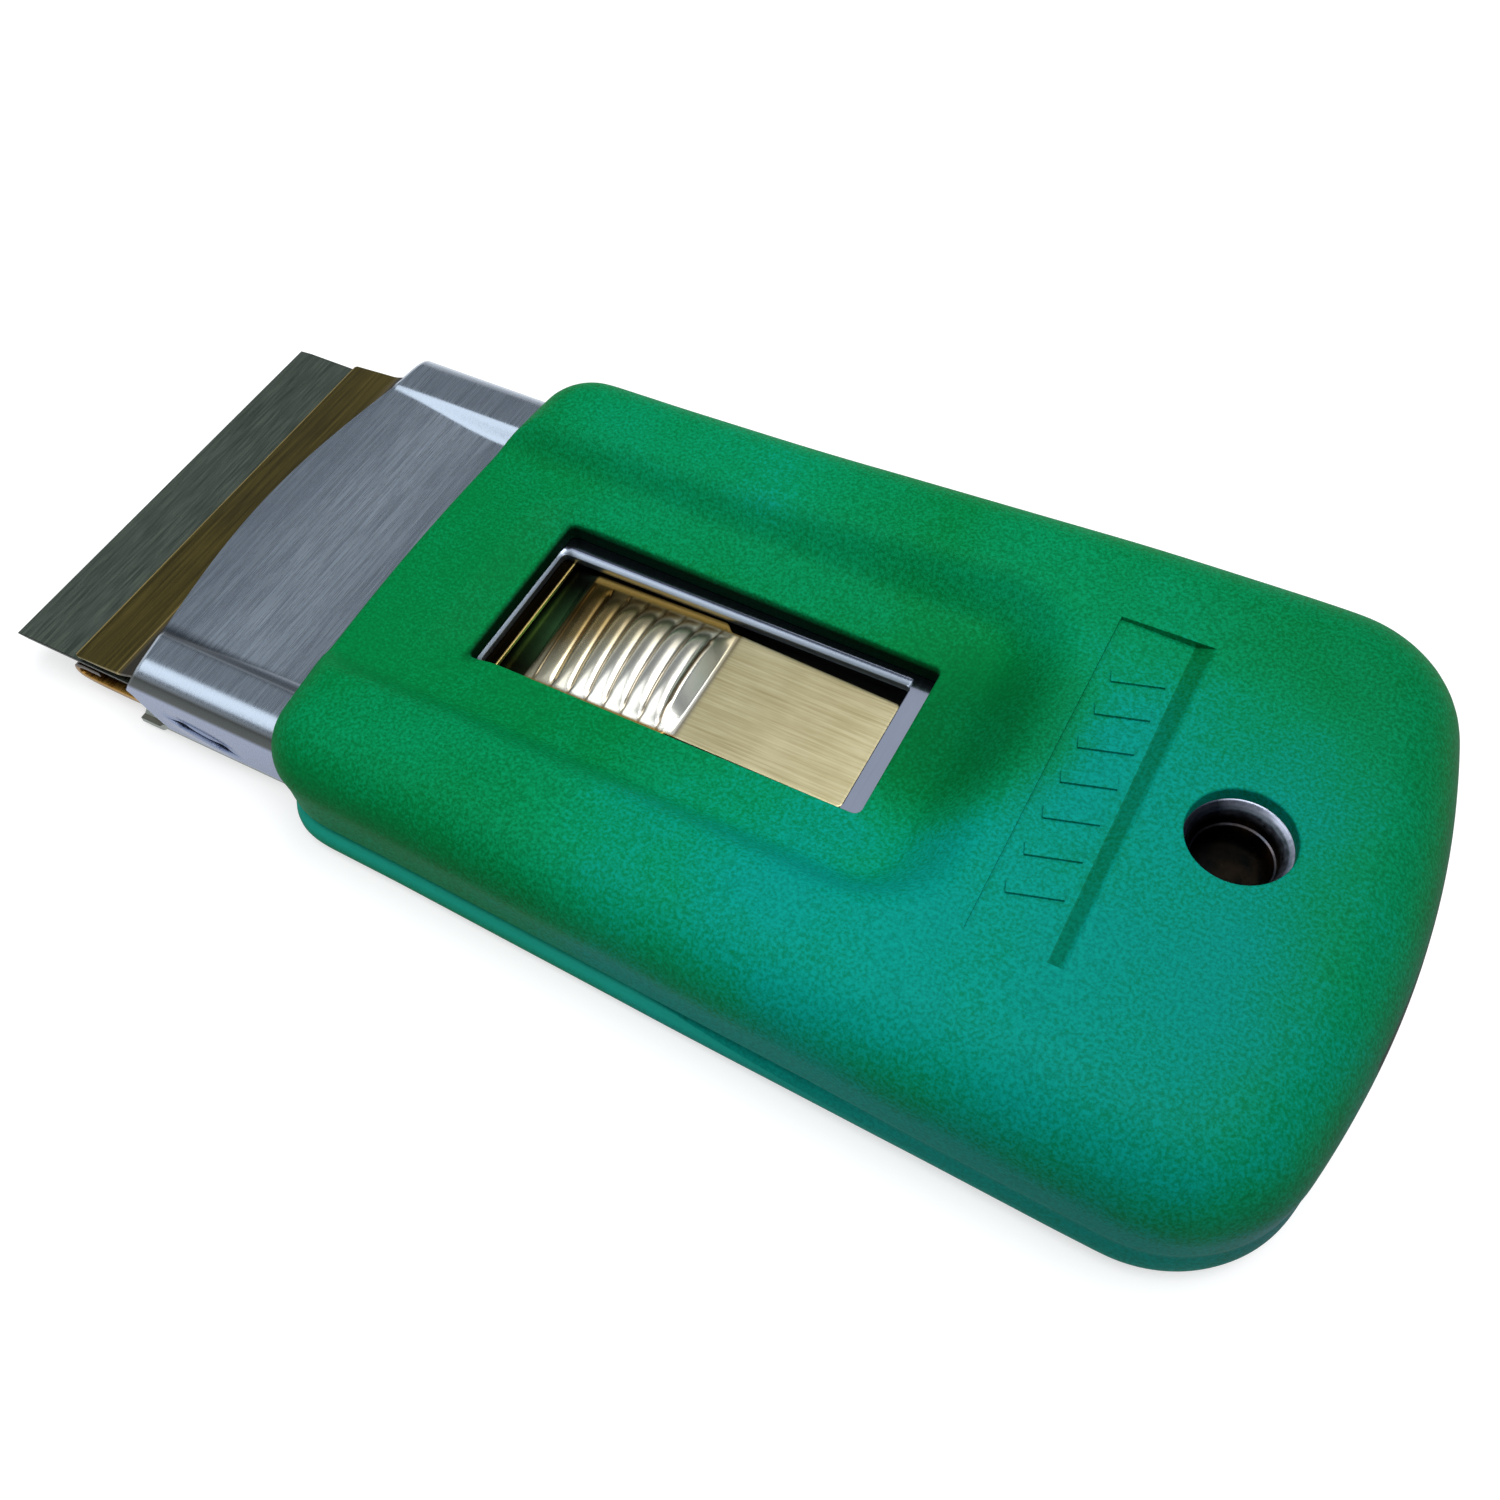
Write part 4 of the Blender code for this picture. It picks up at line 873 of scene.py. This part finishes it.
# Painted highlights: bright lines on the lip's front edge, the rear bend and the rear end.
lip = add_node(tree, "MapRange", {"From Min": -0.04741, "From Max": -0.04748},
               {"Value": apart.outputs["X"]})
bend = add_node(tree, "Math", {"operation": "COMPARE", 1: -0.0429, 2: 0.00006},
                {0: apart.outputs["X"]})
faint = add_node(tree, "MapRange", {"From Min": 0.012, "From Max": -0.018, "To Max": 0.8},
                 {"Value": apart.outputs["Y"]})
bend = add_node(tree, "Math", {"operation": "MULTIPLY"}, {0: bend.outputs[0], 1: faint.outputs[0]})
end = add_node(tree, "MapRange", {"From Min": -0.01572, "From Max": -0.01562},
               {"Value": apart.outputs["X"]})
edge_highlights = add_node(tree, "Math", {"operation": "MAXIMUM"}, {0: lip.outputs[0], 1: bend.outputs[0]})
edge_highlights = add_node(tree, "Math", {"operation": "MAXIMUM"}, {0: edge_highlights.outputs[0], 1: end.outputs[0]})
# Painted shade: behind the lip the plate is darkened, most under the window.
hidden = add_node(tree, "MapRange", {"From Min": -0.0428, "From Max": -0.0423},
                  {"Value": apart.outputs["X"]})
pane = add_node(tree, "MapRange", {"From Min": -0.025, "From Max": -0.018},
                {"Value": apart.outputs["X"]})
shade_under_shell = add_node(tree, "Mix", {"data_type": "RGBA", 6: srgb("#6a655c"), 7: srgb("#35302a")},
                 {0: pane.outputs[0]})
painted_light_mix = add_node(tree, "Mix", DARKEN,
                {0: hidden.outputs[0], 6: shader.inputs["Base Color"].links[0].from_socket,
                 7: shade_under_shell.outputs[2]})
edge_highlit = add_node(tree, "Mix", {"data_type": "RGBA", 7: srgb("#b9a264")},
                {0: edge_highlights.outputs[0], 6: painted_light_mix.outputs[2]})
tree.links.new(edge_highlit.outputs[2], shader.inputs["Base Color"])
coat(clamp, bronze)
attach(clamp, "carrier")
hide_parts("clamp_plate")


# Rivets: two soft steel rivets through shelf, thumb plate and clamp plate. The grip hides them
# at rest, and they show in the window with the carrier fully back.
for side in ("near", "far"):
    coat(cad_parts["carrier_rivet_" + side], rolled_steel)


# Thumb plate: a strip of spring brass. Its middle is pressed up into a crown with seven ribs
# and a plain fall behind, polished by use, and its tail is left flat and brushed lengthwise.
RIB_FRONT = 41.38
RIB_PITCH = 1.62
RIBS = 7
CROWN_HALF = 5.2
CROWN_FOOT = 53.95
TAIL_END = 68.25


def thumb_half(x, side):
    """Half the plate's width: a flange beside the crown, and a tail that narrows to the back."""
    tail = np.clip((x - CROWN_FOOT) / (TAIL_END - CROWN_FOOT), 0, 1) * (side > 0)
    corner = np.clip(x - TAIL_END + 0.3, 0, 0.3)
    flange = 0.68 * (1 - ease((x - 52.6) / 1.0))
    return 5.42 + flange - 0.5 * tail - (0.3 - np.sqrt(np.clip(0.09 - corner ** 2, 0, None)))


def thumb_shape(u, v):
    """Press the strip: tongue, ribbed crown that falls away steeply behind, and tail."""
    x = np.where(u < 0.1, 26.2 + 13.1 * u / 0.1,
                 np.where(u < 0.86, 39.3 + 15.8 * (u - 0.1) / 0.76,
                          55.1 + (TAIL_END - 55.1) * (u - 0.86) / 0.14))
    t = 2 * v - 1
    y = t * thumb_half(x, t)
    base = np.interp(x, (26.2, 38.4, 40.9, 54.6, 68.4), (5.55, 5.55, 6.0, 6.25, 6.05))
    rise = 1.5 * (1 - (1 - np.clip((x - 40.6) / 10.4, 0, 1)) ** 2)
    rise = soft_least(rise, 1.1 * (CROWN_FOOT - x), 0.5)
    arch = np.clip(1 - np.abs(y / CROWN_HALF) ** 2.6, 0, 1)
    crown = np.clip(rise, 0, None) * arch
    place = (x - RIB_FRONT) / RIB_PITCH
    within = np.clip(2 * (place - np.floor(place)) - 1, -1, 1)
    scallop = np.sqrt(np.clip(1 - within ** 2, 0, 1)) - 1
    ribbed = np.where((place > 0) & (place < RIBS), scallop, 0)
    ribbed = ribbed * 0.34 * ease((1 - np.abs(y / CROWN_HALF)) / 0.14) * ease((place + 0.2) / 0.8)
    # The last valley, before the fall, is pressed in the middle only.
    last = np.exp(-((x - RIB_FRONT - RIB_PITCH * RIBS) / 0.16) ** 2)
    ribbed = ribbed - 0.14 * last * ease((3.6 - np.abs(y)) / 0.6)
    # The ribs lean forward on the far side, the front ones most.
    return x - 0.06 * y * np.clip((52.5 - x) / 9.5, 0, 1), y, base + crown + ribbed


thumb = blank("thumb_plate_pressed", 320, 44)
press(thumb, thumb_shape)
apply_modifier(thumb, "SOLIDIFY", thickness=0.5 * MM, offset=-1.0)
punch_rivet_holes(thumb, 4, 7)
break_edges(thumb, 0.05, 55)
smooth(thumb, 45)
# Pale spring brass: silvery on the crown towards the back and the near side, golden brown to the
# front and the far side, partly polish by thumbs and partly painted light. The valleys carry
# painted shade; in front of the ribs the plate is painted dark, with a painted green reflection
# of the rubber in the middle. The tail is brushed lengthwise, with lines drawn 0.2 mm apart.
gilt, tree, shader, where = new_material("spring_brass_pale")
fine = add_node(tree, "Mapping", {"Scale": (1000 / 7, 1000 / 0.2, 1000 / 0.2)}, {"Vector": where})
lines = add_node(tree, "TexNoise", {"Scale": 1.0, "Detail": 3.0, "Roughness": 0.6},
                 {"Vector": fine.outputs[0]})
cloud = add_node(tree, "TexNoise", {"Scale": 1000 / 4, "Detail": 3.0}, {"Vector": where})
apart = add_node(tree, "SeparateXYZ", {}, {"Vector": where})
tail = add_node(tree, "MapRange", {"From Min": 0.0001, "From Max": 0.0004},
                {"Value": apart.outputs["X"]})
tone = add_node(tree, "Math", {"operation": "MULTIPLY_ADD", 1: 0.5},
                {0: cloud.outputs["Fac"], 2: lines.outputs["Fac"]})
brushed = add_node(tree, "ValToRGB", {"stops": [(0.45, "#978d68"), (1.05, "#bdb594")]},
                   {"Fac": tone.outputs[0]})
# Partly wear, partly painted light: silvery towards the back and the near side.
forward = add_node(tree, "MapRange", {"From Min": -0.0135, "From Max": -0.004, "To Min": -0.2,
                                      "To Max": 0.5}, {"Value": apart.outputs["X"]})
toward_near = add_node(tree, "MapRange", {"From Min": 0.005, "From Max": -0.0045, "To Min": -0.1,
                                      "To Max": 0.6}, {"Value": apart.outputs["Y"]})
wear_and_light = add_node(tree, "Math", {}, {0: forward.outputs[0], 1: toward_near.outputs[0]})
wear_and_light = add_node(tree, "Math", {"operation": "MULTIPLY_ADD", 1: 0.4},
                {0: cloud.outputs["Fac"], 2: wear_and_light.outputs[0]})
worn_and_lit_tone = add_node(tree, "ValToRGB", {"stops": [(0.1, "#6d5629"), (0.4, "#b19a68"),
                                                 (0.7, "#ddd5b8"), (0.95, "#efece2")]},
                    {"Fac": wear_and_light.outputs[0]})
# Painted shade: the valleys between the ribs are darkened.
lean = add_node(tree, "MapRange", {"From Min": -0.0111, "From Max": -0.0016, "To Min": 0.06,
                                   "To Max": 0.0}, {"Value": apart.outputs["X"]})
along = add_node(tree, "Math", {"operation": "MULTIPLY_ADD"},
                 {0: lean.outputs[0], 1: apart.outputs["Y"], 2: apart.outputs["X"]})
offset = add_node(tree, "Math", {1: (EDGE_TO_MIDDLE - RIB_FRONT) * MM}, {0: along.outputs[0]})
valley = add_node(tree, "Math", {"operation": "PINGPONG", 1: RIB_PITCH * MM / 2},
                  {0: offset.outputs[0]})
groove = add_node(tree, "MapRange", {"From Min": 0.00022, "From Max": 0.00008, "To Max": 0.7},
                  {"Value": valley.outputs[0]})
valley_shade = add_node(tree, "Mix", {**DARKEN, 7: srgb("#6e5a30")},
                 {0: groove.outputs[0], 6: worn_and_lit_tone.outputs["Color"]})
aside = add_node(tree, "Math", {"operation": "ABSOLUTE"}, {0: apart.outputs["Y"]})
flange = add_node(tree, "MapRange", {"From Min": 0.0052, "From Max": 0.0054},
                  {"Value": aside.outputs[0]})
golden = add_node(tree, "Mix", {"data_type": "RGBA", 7: srgb("#b8944e")},
                  {0: flange.outputs[0], 6: valley_shade.outputs[2]})
# Painted shade and painted reflection: in front of the ribs the plate is dark, green in the middle.
ramp = add_node(tree, "MapRange", {"From Min": -0.0131, "From Max": -0.0133},
                {"Value": apart.outputs["X"]})
patch = add_node(tree, "MapRange", {"From Min": -0.005, "From Max": 0.005},
                 {"Value": apart.outputs["Y"]})
shade_and_reflection = add_node(tree, "ValToRGB", {"stops": [(0.05, "#2c3420"), (0.5, "#5a8a55"),
                                             (0.95, "#20251a")]}, {"Fac": patch.outputs[0]})
painted_light_mix = add_node(tree, "Mix", {"data_type": "RGBA"},
                {0: ramp.outputs[0], 6: golden.outputs[2], 7: shade_and_reflection.outputs["Color"]})
tint = add_node(tree, "Mix", {"data_type": "RGBA"},
                {0: tail.outputs[0], 6: painted_light_mix.outputs[2], 7: brushed.outputs["Color"]})
gloss = add_node(tree, "MapRange", {"To Min": 0.27, "To Max": 0.4}, {"Value": tail.outputs[0]})
depth = add_node(tree, "Math", {"operation": "MULTIPLY"},
                 {0: tail.outputs[0], 1: lines.outputs["Fac"]})
relief = add_node(tree, "Bump", {"Strength": 0.3, "Distance": 0.00002},
                  {"Height": depth.outputs[0]})
tree.links.new(tint.outputs[2], shader.inputs["Base Color"])
tree.links.new(gloss.outputs[0], shader.inputs["Roughness"])
tree.links.new(relief.outputs[0], shader.inputs["Normal"])
shader.inputs["Metallic"].default_value = 1.0
coat(thumb, gilt)
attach(thumb, "thumb")
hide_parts("thumb_plate")


# Blade: a single-edge razor blade of hardened carbon steel, ground to an edge in front, with a
# tinplate spine folded round its back. It is left dark by hardening and oil.
carbon, tree, shader, where = brushed_metal("carbon_steel_oiled", "#5b665b", "#747e73", 0.36, 0.2,
                                            4, 1)
apart = add_node(tree, "SeparateXYZ", {}, {"Vector": where})
# Painted shade: the blade's side edges are darkened.
aside = add_node(tree, "Math", {"operation": "ABSOLUTE"}, {0: apart.outputs["Y"]})
edge_shade = add_node(tree, "MapRange", {"From Min": 0.01898, "From Max": 0.01902},
                   {"Value": aside.outputs[0]})
dark = add_node(tree, "Mix", {**DARKEN, 7: srgb("#4a4d4b")},
                {0: edge_shade.outputs[0], 6: shader.inputs["Base Color"].links[0].from_socket})
tree.links.new(dark.outputs[2], shader.inputs["Base Color"])
coat(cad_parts["blade"], carbon)
tinplate, *_ = brushed_metal("tinplate_folded", "#8f8f8a", "#bdbdb7", 0.3, 0.2, 6, 1)
coat(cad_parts["blade_spine"], tinplate)


# Studio: a floor and a low round backdrop that show white, a wide lamp above the butt, a soft
# one from the far side, a small one for the bright line along the rails, and a dim world.
bpy.ops.mesh.primitive_plane_add(size=4, location=(0, 0, -0.0002))
floor = bpy.context.object
floor.name = "studio_floor"
bpy.ops.mesh.primitive_cylinder_add(vertices=96, radius=1.5, depth=0.56, end_fill_type="NOTHING",
                                    location=(0, 0, 0.2798))
backdrop = bpy.context.object
backdrop.name = "studio_backdrop"
bpy.ops.object.transform_apply(location=True)
edit(backdrop, (bpy.ops.mesh.flip_normals, {}))
white, tree, shader, where = new_material("floor_white")
shader.inputs["Base Color"].default_value = srgb("#b8b8b8")
shader.inputs["Roughness"].default_value = 0.8
path = add_node(tree, "LightPath", {}, {})
seen = add_node(tree, "Math", {"operation": "MAXIMUM"},
                {0: path.outputs["Is Camera Ray"], 1: path.outputs["Is Glossy Ray"]})
seen = add_node(tree, "Math", {"operation": "MAXIMUM"},
                {0: seen.outputs[0], 1: path.outputs["Is Transmission Ray"]})
glow = add_node(tree, "Emission", {"Color": (1, 1, 1, 1), "Strength": 0.62}, {})
both = add_node(tree, "AddShader", {}, {0: shader.outputs[0], 1: glow.outputs[0]})
pick = add_node(tree, "MixShader", {}, {0: seen.outputs[0], 1: shader.outputs[0],
                                        2: both.outputs[0]})
tree.links.new(pick.outputs[0], tree.nodes["Material Output"].inputs["Surface"])
coat(floor, white)
coat(backdrop, white)

world = bpy.data.worlds.new("studio_world")
bpy.context.scene.world = world
world.use_nodes = True
dim = world.node_tree.nodes["Background"]
dim.inputs["Color"].default_value = (0.85, 0.93, 1.0, 1)
dim.inputs["Strength"].default_value = 0.25


def lamp(name, place, aim, size, watts, colour):
    """A soft square lamp at a place, turned to another, in metres."""
    data = bpy.data.lights.new(name, "AREA")
    data.size = size
    data.energy = watts
    data.color = colour
    made = bpy.data.objects.new(name, data)
    made.location = place
    made.rotation_euler = (Vector(aim) - Vector(place)).to_track_quat("-Z", "Y").to_euler()
    bpy.context.scene.collection.objects.link(made)


lamp("window_side_lamp", (0.14, 0.03, 0.52), (0.0, 0.0, 0.0), 0.42, 2.65, (0.97, 0.99, 1.0))
lamp("far_softbox", (0.0, 0.25, 0.433), (0.0, 0.0, 0.0), 0.32, 0.36, (1.0, 0.98, 0.95))
lamp("rail_lamp", (-0.24, -0.13, 0.32), (-0.03, 0.0, 0.0), 0.30, 0.42, (0.95, 0.98, 1.0))

# Camera: close and a little wide, looking down past the near side to the blade.
camera = bpy.data.objects.new("photo_camera", bpy.data.cameras.new("photo_camera"))
right = Vector((0.882732, 0.468519, -0.035693))
down = Vector((0.3648, -0.731226, -0.576394))
ahead = Vector((-0.296151, 0.495781, -0.816392))
camera.matrix_world = Matrix((right, -down, -ahead)).transposed().to_4x4()
camera.location = (0.0404926, -0.0618292, 0.1016116)
camera.data.sensor_width = 36
camera.data.lens = 37.7562
camera.data.clip_start = 0.005
bpy.context.scene.collection.objects.link(camera)
bpy.context.scene.camera = camera
bpy.context.scene.view_settings.view_transform = "Standard"
